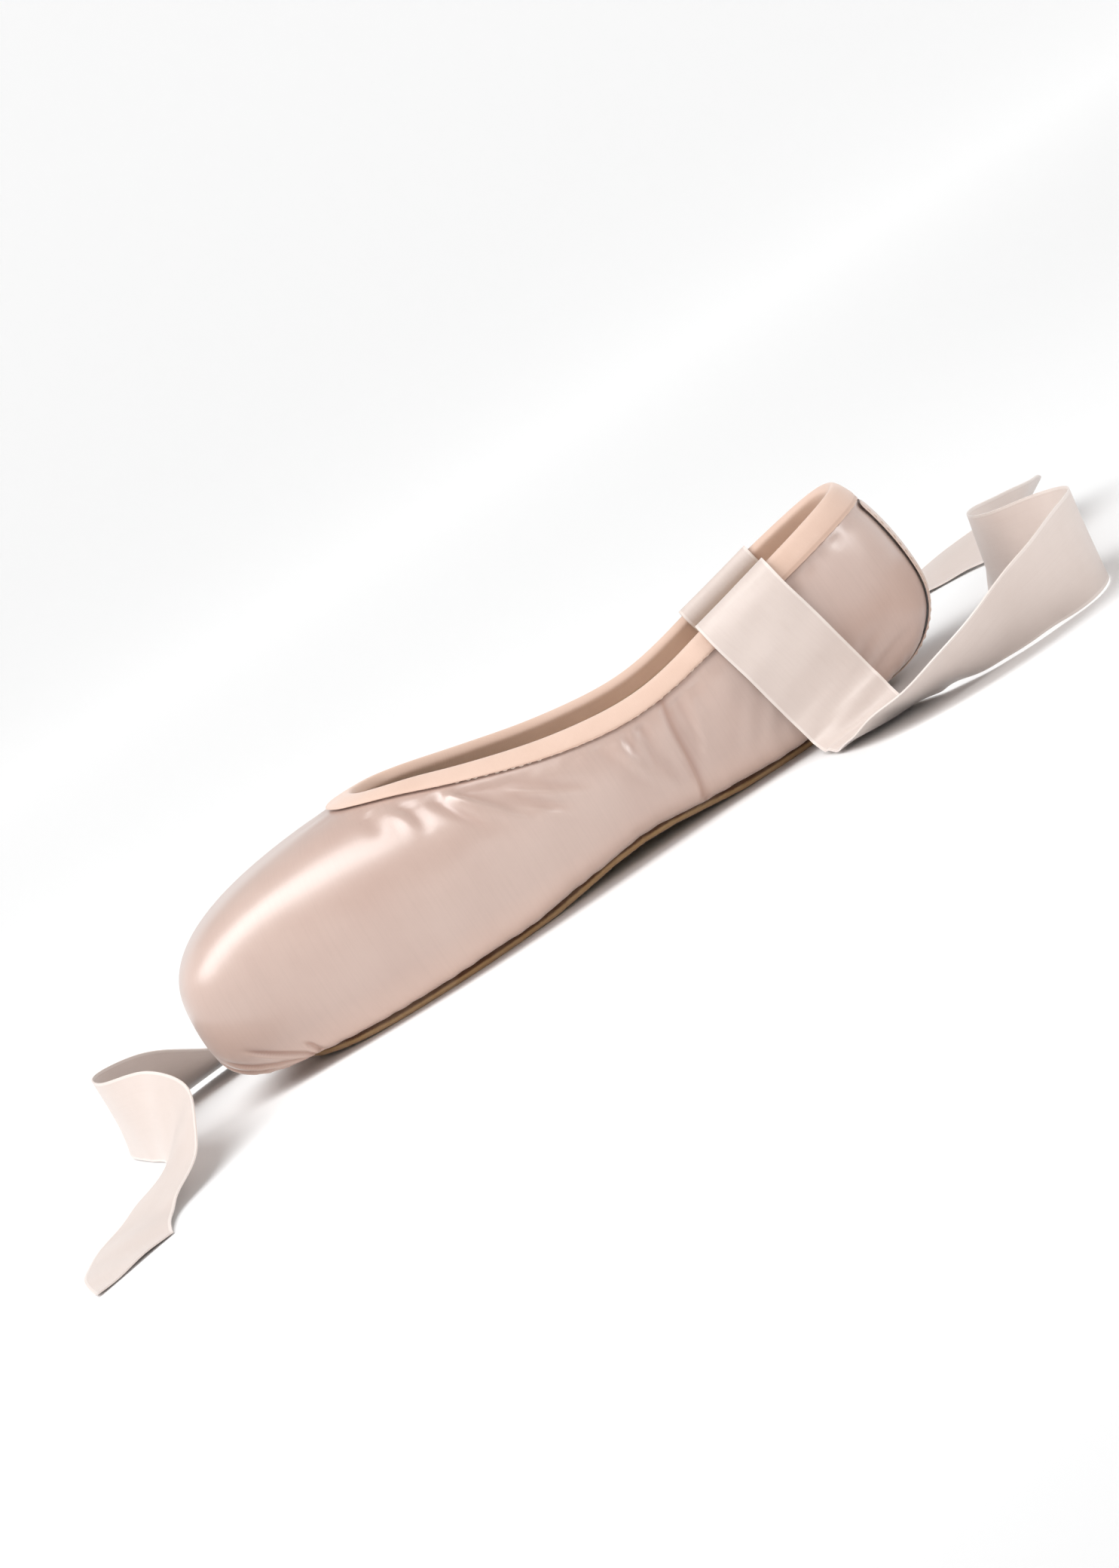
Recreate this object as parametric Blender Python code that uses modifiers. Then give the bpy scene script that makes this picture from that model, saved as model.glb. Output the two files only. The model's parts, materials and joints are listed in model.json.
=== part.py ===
"""Pointe shoe standing empty on its sole: satin upper, collar binding, back strip, outsole, insole, two ribbons.

Metres. +X runs from heel to toe, +Y to the shoe's left, +Z up, and the floor is z = 0.
"""

from collections import namedtuple
from math import cos, pi, radians, sin

import bpy
from mathutils import Vector

# Overall sizes of the shoe
SHOE_LENGTH = 0.228
BALL_WIDTH = 0.076
WAIST_WIDTH = 0.060
HEEL_WIDTH = 0.054
PLATFORM_WIDTH = 0.047
HEEL_HEIGHT = 0.053
SIDE_HEIGHT = 0.038
THROAT_HEIGHT = 0.054
VAMP_LENGTH = 0.068
HEEL_BULGE_HEIGHT = 0.022
BALL_BULGE_HEIGHT = 0.020
BOX_BULGE_HEIGHT = 0.022
HEEL_LEAN = 0.007

# Upper: satin over canvas at the quarters, hardened layers in the box
QUARTER_WALL = 0.0015
BOX_WALL = 0.0028
BOX_LENGTH = 0.060

# Leather outsole, skived at its edge
OUTSOLE_WIDTH = 0.053
OUTSOLE_THICKNESS = 0.0024
OUTSOLE_BEVEL = 0.0007
OUTSOLE_STEP = 0.0009
TOE_TO_OUTSOLE = 0.022
OUTSOLE_TO_HEEL = 0.034
LASTING_MARGIN = 0.0065
TOE_SPRING = 0.0045
ARCH_LIFT = 0.003
HEEL_SPRING = 0.002

# Insole board inside
INSOLE_THICKNESS = 0.0018
INSOLE_INSET = 0.0030
INSOLE_TO_TOE = 0.030

# Binding round the collar, and the strip over the back seam
BINDING_WIDTH = 0.0070
BINDING_THICKNESS = 0.0008
STRIP_WIDTH = 0.015
STRIP_THICKNESS = 0.0006

# Ribbons
RIBBON_WIDTH = 0.025
RIBBON_THICKNESS = 0.0005

# Clearance between pieces that touch on the real shoe
GAP = 0.0003

# The sole's flat treads, as shares of the last's length from the heel
HEEL_TREAD = (0.16, 0.28)
BALL_TREAD = (0.60, 0.76)

# How finely the sections are stepped
STEPS_PER_SECTION = 3
MARGIN_STEPS = 2
TURN_STEPS = 6
SIDE_STEPS = 9
RIBBON_STEPS = 4
SMOOTH_ANGLE = radians(40)
MERGE = 0.00005

# How much of its clearance the binding keeps sideways where it crosses the edge, on its lining and on its face
LINING_CORNER = 0.9
FACE_CORNER = 0.4

UNDERSIDE = OUTSOLE_THICKNESS + GAP
HEEL_X = -SHOE_LENGTH / 2 + GAP + STRIP_THICKNESS
TOE_X = SHOE_LENGTH / 2
LAST_LENGTH = TOE_X - HEEL_X
OUTSOLE_LENGTH = LAST_LENGTH - TOE_TO_OUTSOLE - OUTSOLE_TO_HEEL
TOPLINE_LENGTH = LAST_LENGTH - VAMP_LENGTH - HEEL_LEAN

# One row for each section of the upper, from the middle of the heel's back to the middle of the toe.
# along: share of the last's length. half: share of half the named width. bulge: height of the widest line.
# sole_along, sole_half: the outsole's edge, as shares of its length and half its width.
# top_along: share of the topline's length. top_half: share of half the named width. top: the topline's height.
# turn: how much of the way in from the widest line the underside's corner lies.
# low and high: how square the section's corners are below and above its widest line.
# wrap: how far the section's upper part bends over, in degrees.
Section = namedtuple(
    "Section", "along half width bulge sole_along sole_half top_along top_half top turn low high wrap"
)
SECTIONS = (
    # Heel, round in plan
    Section(0.000, 0.00, HEEL_WIDTH, HEEL_BULGE_HEIGHT, 0.000, 0.00, 0.000, 0.00, HEEL_HEIGHT,
            0.50, 2.1, 2.0, 58),
    Section(0.033, 0.68, HEEL_WIDTH, HEEL_BULGE_HEIGHT, 0.000, 0.30, 0.030, 0.50, HEEL_HEIGHT * 0.99,
            0.50, 2.1, 2.0, 57),
    Section(0.115, 0.99, HEEL_WIDTH, HEEL_BULGE_HEIGHT, 0.050, 0.50, 0.130, 0.76, HEEL_HEIGHT * 0.93,
            0.50, 2.2, 2.0, 55),
    # Quarter, waist and arch
    Section(0.225, 0.96, WAIST_WIDTH, HEEL_BULGE_HEIGHT, 0.160, 0.58, 0.275, 0.75, HEEL_HEIGHT * 0.84,
            0.50, 2.2, 2.0, 52),
    Section(0.370, 1.00, WAIST_WIDTH, HEEL_BULGE_HEIGHT, 0.330, 0.60, 0.470, 0.79, SIDE_HEIGHT,
            0.52, 2.2, 2.0, 52),
    Section(0.500, 0.90, BALL_WIDTH, BALL_BULGE_HEIGHT, 0.500, 0.77, 0.640, 0.62, SIDE_HEIGHT * 1.06,
            0.52, 2.2, 2.0, 60),
    # Ball and wings
    Section(0.640, 1.00, BALL_WIDTH, BALL_BULGE_HEIGHT, 0.680, 1.00, 0.790, 0.55, THROAT_HEIGHT * 0.85,
            0.50, 2.3, 2.2, 68),
    Section(0.755, 0.95, BALL_WIDTH, BALL_BULGE_HEIGHT, 0.815, 0.97, 0.885, 0.44, THROAT_HEIGHT * 0.93,
            0.48, 2.4, 2.4, 76),
    # Box and platform
    Section(0.860, 0.81, BALL_WIDTH, BOX_BULGE_HEIGHT, 0.915, 0.80, 0.945, 0.37, THROAT_HEIGHT * 0.972,
            0.46, 2.5, 2.6, 80),
    Section(0.945, 1.05, PLATFORM_WIDTH, BOX_BULGE_HEIGHT, 0.972, 0.50, 0.979, 0.41, THROAT_HEIGHT * 0.99,
            0.42, 2.6, 2.9, 82),
    Section(0.989, 0.66, PLATFORM_WIDTH, BOX_BULGE_HEIGHT, 0.995, 0.22, 0.995, 0.21, THROAT_HEIGHT,
            0.40, 2.6, 3.1, 83),
    Section(1.000, 0.00, PLATFORM_WIDTH, BOX_BULGE_HEIGHT, 1.000, 0.00, 1.000, 0.00, THROAT_HEIGHT,
            0.40, 2.6, 3.1, 83),
)
TOE_ROW = len(SECTIONS) - 1
SIDEWAYS = (1, 4, 6)
Shape = namedtuple("Shape", "x half bulge sole_x sole_half top_x top_half top turn low high wrap")

# Ribbons, by hand: the middle of the ribbon in millimetres, then the way that its width points, as a heading from
# +X and a rise above the floor, in degrees. Each is sewn inside its quarter, comes up over the collar and down the
# outside, then lies on the floor, flat in places and on its edge in others.
RibbonPoint = namedtuple("RibbonPoint", "x y z heading rise")
LEFT_RIBBON = (
    RibbonPoint(-71.0, 24.6, 27.5, 3, -13),
    RibbonPoint(-69.0, 22.6, 36.8, 3, -13),
    RibbonPoint(-67.3, 19.1, 43.1, 3, -13),
    RibbonPoint(-66.6, 21.1, 46.9, 3, -13),
    RibbonPoint(-66.9, 25.2, 45.1, 3, -13),
    RibbonPoint(-68.0, 28.2, 39.1, 3, -13),
    RibbonPoint(-70.3, 30.1, 29.7, 3, -13),
    RibbonPoint(-72.3, 31.0, 20.5, 3, -13),
    RibbonPoint(-74.2, 31.6, 12.0, 4, -12),
    RibbonPoint(-75.6, 33.6, 5.4, 7, -8),
    RibbonPoint(-76.8, 38.6, 1.4, 11, -3),
    RibbonPoint(-78.6, 46.0, 0.6, 15, 1),
    RibbonPoint(-82.5, 58.0, 1.8, 21, 6),
    RibbonPoint(-91.0, 71.0, 4.5, 42, 18),
    RibbonPoint(-107.0, 80.0, 7.7, 73, 34),
    RibbonPoint(-127.0, 78.0, 11.5, 106, 61),
    RibbonPoint(-144.0, 66.0, 13.0, 136, 84),
    RibbonPoint(-152.0, 46.0, 12.9, 168, 82),
    RibbonPoint(-147.0, 25.0, 12.9, 196, 84),
    RibbonPoint(-136.0, 7.0, 13.1, 204, 90),
    RibbonPoint(-131.0, -14.0, 12.8, 182, 79),
    RibbonPoint(-136.0, -36.0, 11.5, 160, 61),
    RibbonPoint(-147.0, -56.0, 9.3, 158, 44),
    RibbonPoint(-151.0, -79.0, 6.7, 186, 29),
    RibbonPoint(-141.0, -100.0, 4.0, 222, 16),
    RibbonPoint(-120.0, -112.0, 1.7, 250, 5),
    RibbonPoint(-95.0, -114.0, 0.8, 268, 1),
    RibbonPoint(-69.0, -112.0, 0.8, 277, 1),
    RibbonPoint(-43.0, -109.0, 0.8, 272, 1),
    RibbonPoint(-18.0, -111.0, 0.6, 263, 0),
    RibbonPoint(4.0, -116.0, 0.6, 256, 0),
)
RIGHT_RIBBON = (
    RibbonPoint(-71.0, -24.6, 27.5, -3, -13),
    RibbonPoint(-69.0, -22.6, 36.8, -3, -13),
    RibbonPoint(-67.3, -19.1, 43.1, -3, -13),
    RibbonPoint(-66.6, -21.1, 46.9, -3, -13),
    RibbonPoint(-66.9, -25.2, 45.1, -3, -13),
    RibbonPoint(-68.0, -28.2, 39.1, -3, -13),
    RibbonPoint(-70.3, -30.1, 29.7, -3, -13),
    RibbonPoint(-72.3, -31.0, 20.5, -3, -13),
    RibbonPoint(-74.2, -31.6, 12.0, -4, -12),
    RibbonPoint(-75.4, -33.6, 5.4, -6, -8),
    RibbonPoint(-75.8, -38.6, 1.4, -6, -3),
    RibbonPoint(-75.2, -46.0, 0.7, -2, 1),
    RibbonPoint(-72.0, -58.0, 2.3, 12, 8),
    RibbonPoint(-62.0, -72.0, 5.4, 36, 22),
    RibbonPoint(-43.0, -82.0, 9.2, 66, 42),
    RibbonPoint(-20.0, -84.0, 11.8, 94, 63),
    RibbonPoint(1.0, -75.0, 10.8, 114, 54),
    RibbonPoint(21.0, -63.0, 7.5, 118, 33),
    RibbonPoint(43.0, -56.0, 3.7, 102, 14),
    RibbonPoint(68.0, -56.0, 1.3, 86, 3),
    RibbonPoint(92.0, -60.0, 1.3, 84, 3),
    RibbonPoint(116.0, -58.0, 4.1, 104, 16),
    RibbonPoint(136.0, -45.0, 9.6, 134, 46),
    RibbonPoint(146.0, -24.0, 12.9, 165, 80),
    RibbonPoint(143.0, -2.0, 13.1, 195, 90),
    RibbonPoint(133.0, 18.0, 12.5, 206, 72),
    RibbonPoint(129.0, 40.0, 9.1, 184, 43),
    RibbonPoint(136.0, 62.0, 4.2, 160, 16),
    RibbonPoint(147.0, 83.0, 1.1, 160, 2),
    RibbonPoint(150.0, 106.0, 0.6, 178, 0),
    RibbonPoint(147.0, 127.0, 0.6, 188, 0),
)


def empty_scene():
    for leftover in list(bpy.data.objects):
        bpy.data.objects.remove(leftover)


def make_material(name, colour, roughness):
    material = bpy.data.materials.new(name)
    material.use_nodes = True
    shader = material.node_tree.nodes["Principled BSDF"]
    shader.inputs["Base Color"].default_value = (*colour, 1)
    shader.inputs["Roughness"].default_value = roughness
    shader.inputs["Metallic"].default_value = 0
    return material


def smooth_mix(before, start, end, after, share):
    """Smooth curve from start to end through its neighbours."""
    return (
        start * 2
        + (end - before) * share
        + (before * 2 - start * 5 + end * 4 - after) * share**2
        + (start * 3 - before - end * 3 + after) * share**3
    ) / 2


def floor_clearance(x):
    """How far the underside is lifted at x by the toe spring, the arch and the heel's curve."""
    share = (x - HEEL_X) / LAST_LENGTH
    if share < HEEL_TREAD[0]:
        return HEEL_SPRING * (1 - share / HEEL_TREAD[0]) ** 2
    if share > BALL_TREAD[1]:
        return TOE_SPRING * ((share - BALL_TREAD[1]) / (1 - BALL_TREAD[1])) ** 2
    if HEEL_TREAD[1] < share < BALL_TREAD[0]:
        return ARCH_LIFT * sin(pi * (share - HEEL_TREAD[1]) / (BALL_TREAD[0] - HEEL_TREAD[1])) ** 2
    return 0.0


def section_sizes(row):
    """A row's shares turned into metres and radians, in the order of Shape."""
    return Vector((
        HEEL_X + row.along * LAST_LENGTH,
        row.half * row.width / 2,
        row.bulge,
        HEEL_X + OUTSOLE_TO_HEEL + row.sole_along * OUTSOLE_LENGTH,
        row.sole_half * OUTSOLE_WIDTH / 2,
        HEEL_X + HEEL_LEAN + row.top_along * TOPLINE_LENGTH,
        row.top_half * row.width / 2,
        row.top,
        row.turn,
        row.low,
        row.high,
        radians(row.wrap),
    ))


SIZES = [section_sizes(row) for row in SECTIONS]


def row_sizes(index):
    """A row's sizes, mirrored past the heel and past the toe, so that the surface crosses the middle squarely."""
    if 0 <= index <= TOE_ROW:
        return SIZES[index]
    mirrored = SIZES[-index if index < 0 else 2 * TOE_ROW - index].copy()
    for column in SIDEWAYS:
        mirrored[column] = -mirrored[column]
    return mirrored


def shape_at(place):
    """The section at a place between rows: 0 is the heel's back and TOE_ROW is the toe."""
    index = min(int(place), TOE_ROW - 1)
    neighbours = [row_sizes(index + k) for k in (-1, 0, 1, 2)]
    return Shape(*smooth_mix(*neighbours, place - index))


def upper_point(place, up):
    """Point on the upper's outside. up is 0 at the lasting edge, 1 at the underside's corner, 2 at the widest line
    and 3 at the topline. A negative place, or one past the toe, is on the shoe's right."""
    if place > TOE_ROW:
        place -= 2 * TOE_ROW
    shape = shape_at(abs(place))
    widest = Vector((shape.x, shape.half, 0))
    sole = Vector((shape.sole_x, shape.sole_half, 0))
    lasting = sole + (sole - widest).normalized() * LASTING_MARGIN
    corner = widest.lerp(lasting, shape.turn)
    top = Vector((shape.top_x, shape.top_half, 0))
    if up <= 1:
        point = lasting.lerp(corner, up)
        height = UNDERSIDE + floor_clearance(point.x)
    elif up <= 2:
        angle = (up - 1) * pi / 2
        point = corner.lerp(widest, sin(angle) ** (2 / shape.low))
        base = UNDERSIDE + floor_clearance(point.x)
        height = base + (shape.bulge - base) * (1 - max(cos(angle), 0) ** (2 / shape.low))
    else:
        angle = (up - 2) * shape.wrap
        power = 2 / shape.high
        inward = (1 - cos(angle) ** power) / (1 - cos(shape.wrap) ** power)
        rise = sin(angle) ** power / sin(shape.wrap) ** power
        point = widest.lerp(top, inward)
        height = shape.bulge + (shape.top - shape.bulge) * rise
    return Vector((point.x, point.y if place >= 0 else -point.y, height))


def upper_normal(place, up):
    """Outward direction of the upper's surface."""
    small = 0.01
    along = upper_point(place + small, up) - upper_point(place - small, up)
    across = upper_point(place, min(up + small, 3)) - upper_point(place, max(up - small, 0))
    normal = across.cross(along).normalized()
    if place in (0, TOE_ROW):
        normal.y = 0
    return normal.normalized()


def skin(place, up, out):
    """Point this far out from the upper's outside, or in from it where out is negative."""
    return upper_point(place, up) + upper_normal(place, up) * out


def wall_at(place, up):
    """The upper's wall: thin at the quarters and underfoot, thick in the box."""
    x = upper_point(place, up).x
    into_box = max(0.0, min(1.0, (x - (TOE_X - BOX_LENGTH)) / (BOX_LENGTH / 2)))
    off_floor = max(0.0, min(1.0, up - 1))
    return QUARTER_WALL + (BOX_WALL - QUARTER_WALL) * into_box * off_floor


def half_places():
    """Places along the shoe's left half, from the heel's middle to the toe's middle."""
    return [k / STEPS_PER_SECTION for k in range(TOE_ROW * STEPS_PER_SECTION + 1)]


def loft(name, rings, material, capped=False):
    """A closed skin through rings of equal length, with flat end faces where it is capped."""
    count = len(rings[0])
    faces = []
    for i in range(len(rings) - 1):
        for k in range(count):
            n = (k + 1) % count
            faces.append((i * count + k, i * count + n, (i + 1) * count + n, (i + 1) * count + k))
    if capped:
        last = (len(rings) - 1) * count
        faces.append(tuple(reversed(range(count))))
        faces.append(tuple(range(last, last + count)))
    mesh = bpy.data.meshes.new(name)
    mesh.from_pydata([point for ring in rings for point in ring], [], faces)
    mesh.materials.append(material)
    mesh.shade_smooth()
    mesh.set_sharp_from_angle(angle=SMOOTH_ANGLE)
    made = bpy.data.objects.new(name, mesh)
    SHOE.objects.link(made)
    return made


def add_mirror(half):
    """The other half, joined at the shoe's middle."""
    mirror = half.modifiers.new("other half", "MIRROR")
    mirror.use_axis = (False, True, False)
    mirror.use_clip = True
    mirror.merge_threshold = MERGE


def build_upper(material):
    """The hollow upper: its wall in section, lofted from the heel's middle to the toe's, then mirrored."""
    ups = [k / MARGIN_STEPS for k in range(MARGIN_STEPS)]
    ups += [1 + k / TURN_STEPS for k in range(TURN_STEPS)]
    ups += [2 + k / SIDE_STEPS for k in range(SIDE_STEPS + 1)]
    rings = []
    for place in half_places():
        outside = [upper_point(place, up) for up in ups]
        inside = [skin(place, up, -wall_at(place, up)) for up in reversed(ups)]
        rings.append(outside + inside)
    add_mirror(loft("upper", rings, material))


def below_topline(place, depth):
    """The value of up that lies this far below the topline, measured down the surface."""
    step = 0.02
    up, walked, here = 3.0, 0.0, upper_point(place, 3.0)
    while walked < depth:
        there = upper_point(place, up - step)
        stride = (there - here).length
        if walked + stride >= depth:
            return up - step * (depth - walked) / stride
        up, walked, here = up - step, walked + stride, there
    return up


def round_the_edge(place, clearance, corner):
    """Line from the outside, over the topline and down inside, this far from the wall on both sides. corner is how
    much of the clearance the line keeps sideways where it crosses the edge."""
    edge, normal, wall = upper_point(place, 3), upper_normal(place, 3), wall_at(place, 3)
    rise = (edge - upper_point(place, 2.96)).normalized()
    ups = [below_topline(place, BINDING_WIDTH * share) for share in (1, 0.5, 0)]
    outer = [skin(place, up, clearance) for up in ups]
    inner = [skin(place, up, -wall_at(place, up) - clearance) for up in reversed(ups)]
    over = [
        edge + rise * clearance + normal * clearance * corner,
        edge + rise * clearance - normal * (wall + clearance * corner),
    ]
    return outer + over + inner


def build_binding(material):
    """Satin tape folded over the collar's edge."""
    rings = []
    for place in half_places():
        lining = round_the_edge(place, GAP, LINING_CORNER)
        face = round_the_edge(place, GAP + BINDING_THICKNESS, FACE_CORNER)
        rings.append(face + lining[::-1])
    add_mirror(loft("collar_binding", rings, material))


def place_across(half, up):
    """The place on the heel's left where the surface is this far from the shoe's middle."""
    low, high = 0.0, 3.0
    for _ in range(24):
        middle = (low + high) / 2
        if upper_point(middle, up).y < half:
            low = middle
        else:
            high = middle
    return low


def build_back_strip(material):
    """Satin tape over the back seam, from the binding down and under the heel to the outsole."""
    top = below_topline(0, BINDING_WIDTH + 2 * GAP)
    bottom = 1.0
    while upper_point(place_across(STRIP_WIDTH / 2, bottom), bottom).x < HEEL_X + OUTSOLE_TO_HEEL - 2 * GAP:
        bottom -= 0.005
    steps = 2 * TURN_STEPS
    rings = []
    for k in range(steps + 1):
        up = top + (bottom - top) * k / steps
        places = [place_across(STRIP_WIDTH / 2 * share, up) for share in (1, 0.67, 0.33)]
        line = [-place for place in places] + [0] + places[::-1]
        outer = [skin(place, up, GAP + STRIP_THICKNESS) for place in line]
        inner = [skin(place, up, GAP) for place in reversed(line)]
        rings.append(outer + inner)
    loft("back_strip", rings, material, capped=True)


def build_plate(name, stations, base, thickness, low, high, material):
    """A flat piece that follows the shoe's underside, through stations of (x, half width), its lower and upper
    edges cut back by low and high."""
    rings = []
    for x, half in stations:
        z = base + floor_clearance(x)
        left = [
            Vector((x, half - low, z)),
            Vector((x, half, z + low)),
            Vector((x, half, z + thickness - high)),
            Vector((x, half - high, z + thickness)),
        ]
        rings.append([Vector((p.x, -p.y, p.z)) for p in reversed(left)] + left)
    loft(name, rings, material, capped=True)


def build_outsole(material):
    """Leather sole: pear outline, skived lower edge, and a step in where it meets the satin."""
    shapes = [shape_at(place) for place in half_places()]
    stations = [(shape.sole_x, shape.sole_half) for shape in shapes if shape.sole_half > OUTSOLE_STEP * 3]
    build_plate("outsole", stations, 0, OUTSOLE_THICKNESS, OUTSOLE_BEVEL, OUTSOLE_STEP, material)


def build_insole(material):
    """Board and sock on the upper's turned-in edge, ending inside the box."""
    stations = []
    for place in half_places():
        corner = upper_point(place, 1)
        x, half = corner.x + INSOLE_INSET, corner.y - INSOLE_INSET
        if half > INSOLE_INSET and x < TOE_X - INSOLE_TO_TOE:
            stations.append((x, half))
    base = UNDERSIDE + QUARTER_WALL + GAP
    bevel = INSOLE_THICKNESS / 3
    build_plate("insole", stations, base, INSOLE_THICKNESS, bevel, bevel, material)


def ribbon_samples(route):
    """Smooth run of (middle, width direction) through a route's points, in metres."""
    rows = [Vector(point) for point in route]
    rows = [rows[0] * 2 - rows[1]] + rows + [rows[-1] * 2 - rows[-2]]
    steps = []
    for i in range(1, len(rows) - 2):
        steps += [smooth_mix(*rows[i - 1:i + 3], k / RIBBON_STEPS) for k in range(RIBBON_STEPS)]
    samples = []
    for x, y, z, heading, rise in steps + [rows[-2]]:
        heading, rise = radians(heading), radians(rise)
        width = Vector((cos(rise) * cos(heading), cos(rise) * sin(heading), sin(rise)))
        samples.append((Vector((x, y, z)) / 1000, width))
    return samples


def build_ribbon(name, route, material):
    """A flat strip along its route, plain cut at both ends."""
    samples = ribbon_samples(route)
    rings = []
    for i, (middle, width) in enumerate(samples):
        behind, ahead = samples[max(i - 1, 0)][0], samples[min(i + 1, len(samples) - 1)][0]
        along = (ahead - behind).normalized()
        side = (width - along * width.dot(along)).normalized() * RIBBON_WIDTH / 2
        out = along.cross(side).normalized() * RIBBON_THICKNESS / 2
        rings.append([middle - side - out, middle + side - out, middle + side + out, middle - side + out])
    loft(name, rings, material, capped=True)


empty_scene()
SHOE = bpy.data.collections.new("pointe_shoe")
bpy.context.scene.collection.children.link(SHOE)

satin = make_material("satin", (0.80, 0.62, 0.55), 0.32)
binding_satin = make_material("binding satin", (0.79, 0.58, 0.49), 0.5)
leather = make_material("sole leather", (0.58, 0.38, 0.20), 0.7)
sock_cotton = make_material("sock cotton", (0.72, 0.62, 0.50), 0.85)
ribbon_satin = make_material("ribbon satin", (0.84, 0.76, 0.72), 0.35)

build_upper(satin)
build_outsole(leather)
build_insole(sock_cotton)
build_binding(binding_satin)
build_back_strip(satin)
build_ribbon("ribbon_left", LEFT_RIBBON, ribbon_satin)
build_ribbon("ribbon_right", RIGHT_RIBBON, ribbon_satin)
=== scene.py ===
"""Looks of a satin pointe shoe that stands empty on its sole, with its two ribbons lying loose beside it.

Metres. +X runs from heel to toe, +Y to the shoe's left, +Z up. Each dressed piece is worked out from the
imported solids.
"""

import json
from collections import namedtuple
from math import cos, pi, radians, sin

import bpy
import numpy as np
from mathutils import Matrix, Vector
from mathutils.bvhtree import BVHTree

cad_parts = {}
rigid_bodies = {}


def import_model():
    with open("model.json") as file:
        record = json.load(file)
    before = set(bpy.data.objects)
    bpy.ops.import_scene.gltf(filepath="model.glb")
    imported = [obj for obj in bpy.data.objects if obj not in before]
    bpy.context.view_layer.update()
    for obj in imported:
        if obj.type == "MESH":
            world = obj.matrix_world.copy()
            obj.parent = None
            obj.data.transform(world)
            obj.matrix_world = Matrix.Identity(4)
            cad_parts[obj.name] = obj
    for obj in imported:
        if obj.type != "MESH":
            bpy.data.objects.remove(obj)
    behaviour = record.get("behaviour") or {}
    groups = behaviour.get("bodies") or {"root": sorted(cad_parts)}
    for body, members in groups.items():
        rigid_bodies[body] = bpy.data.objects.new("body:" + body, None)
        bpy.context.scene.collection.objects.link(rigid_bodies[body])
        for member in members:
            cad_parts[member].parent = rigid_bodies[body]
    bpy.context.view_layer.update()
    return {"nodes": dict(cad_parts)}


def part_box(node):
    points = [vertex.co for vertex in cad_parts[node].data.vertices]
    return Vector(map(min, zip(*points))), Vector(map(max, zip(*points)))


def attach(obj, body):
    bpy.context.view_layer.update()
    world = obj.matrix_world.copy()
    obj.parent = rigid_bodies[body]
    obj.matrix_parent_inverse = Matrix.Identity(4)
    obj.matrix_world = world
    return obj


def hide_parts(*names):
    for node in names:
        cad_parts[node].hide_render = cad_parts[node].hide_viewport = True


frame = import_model()
MM = 0.001

# Camera. A long lens at the shoe's left side, a little above the floor, with the toe to the picture's left,
# rolled so that the toe hangs low and the heel stands high.
ELEVATION = radians(8)
ROLL = radians(33)
CAMERA_DISTANCE = 1.5
PICTURE_HEIGHT = 0.416
PICTURE_CENTRE = (-0.012, 0.023)

towards_camera = Vector((0, cos(ELEVATION), sin(ELEVATION)))
level_right = Vector((-1, 0, 0))
level_up = towards_camera.cross(level_right)
picture_right = level_right * cos(ROLL) - level_up * sin(ROLL)
picture_up = level_up * cos(ROLL) + level_right * sin(ROLL)
camera_data = bpy.data.cameras.new("camera")
camera_data.lens = camera_data.sensor_width * CAMERA_DISTANCE / PICTURE_HEIGHT
camera = bpy.data.objects.new("camera", camera_data)
bpy.context.scene.collection.objects.link(camera)
aim = picture_right * PICTURE_CENTRE[0] + picture_up * PICTURE_CENTRE[1]
turn = Matrix((picture_right, picture_up, towards_camera)).transposed().to_4x4()
camera.matrix_world = Matrix.Translation(aim + towards_camera * CAMERA_DISTANCE) @ turn
bpy.context.scene.camera = camera

# Ribbons. Single-face satin ribbon with a woven edge, one sewn inside each quarter. Each comes up over the
# collar, hangs down outside and runs out on the floor, where it lies flat or stands on its edge.
RIBBON_WIDTH = 0.025
RIBBON_THICKNESS = 0.0004
RIBBON_ROWS = 360
RIBBON_COLUMNS = 14
RIBBON_SLANT = 0.5
RIPPLE_HEIGHT = 0.0008
RIPPLE_PITCH = 0.034
# The ribbon is smooth as far as this from its sewn end, and ripples fully this much further on.
RIPPLE_START = 0.07
RIPPLE_FADE = 0.03
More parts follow.
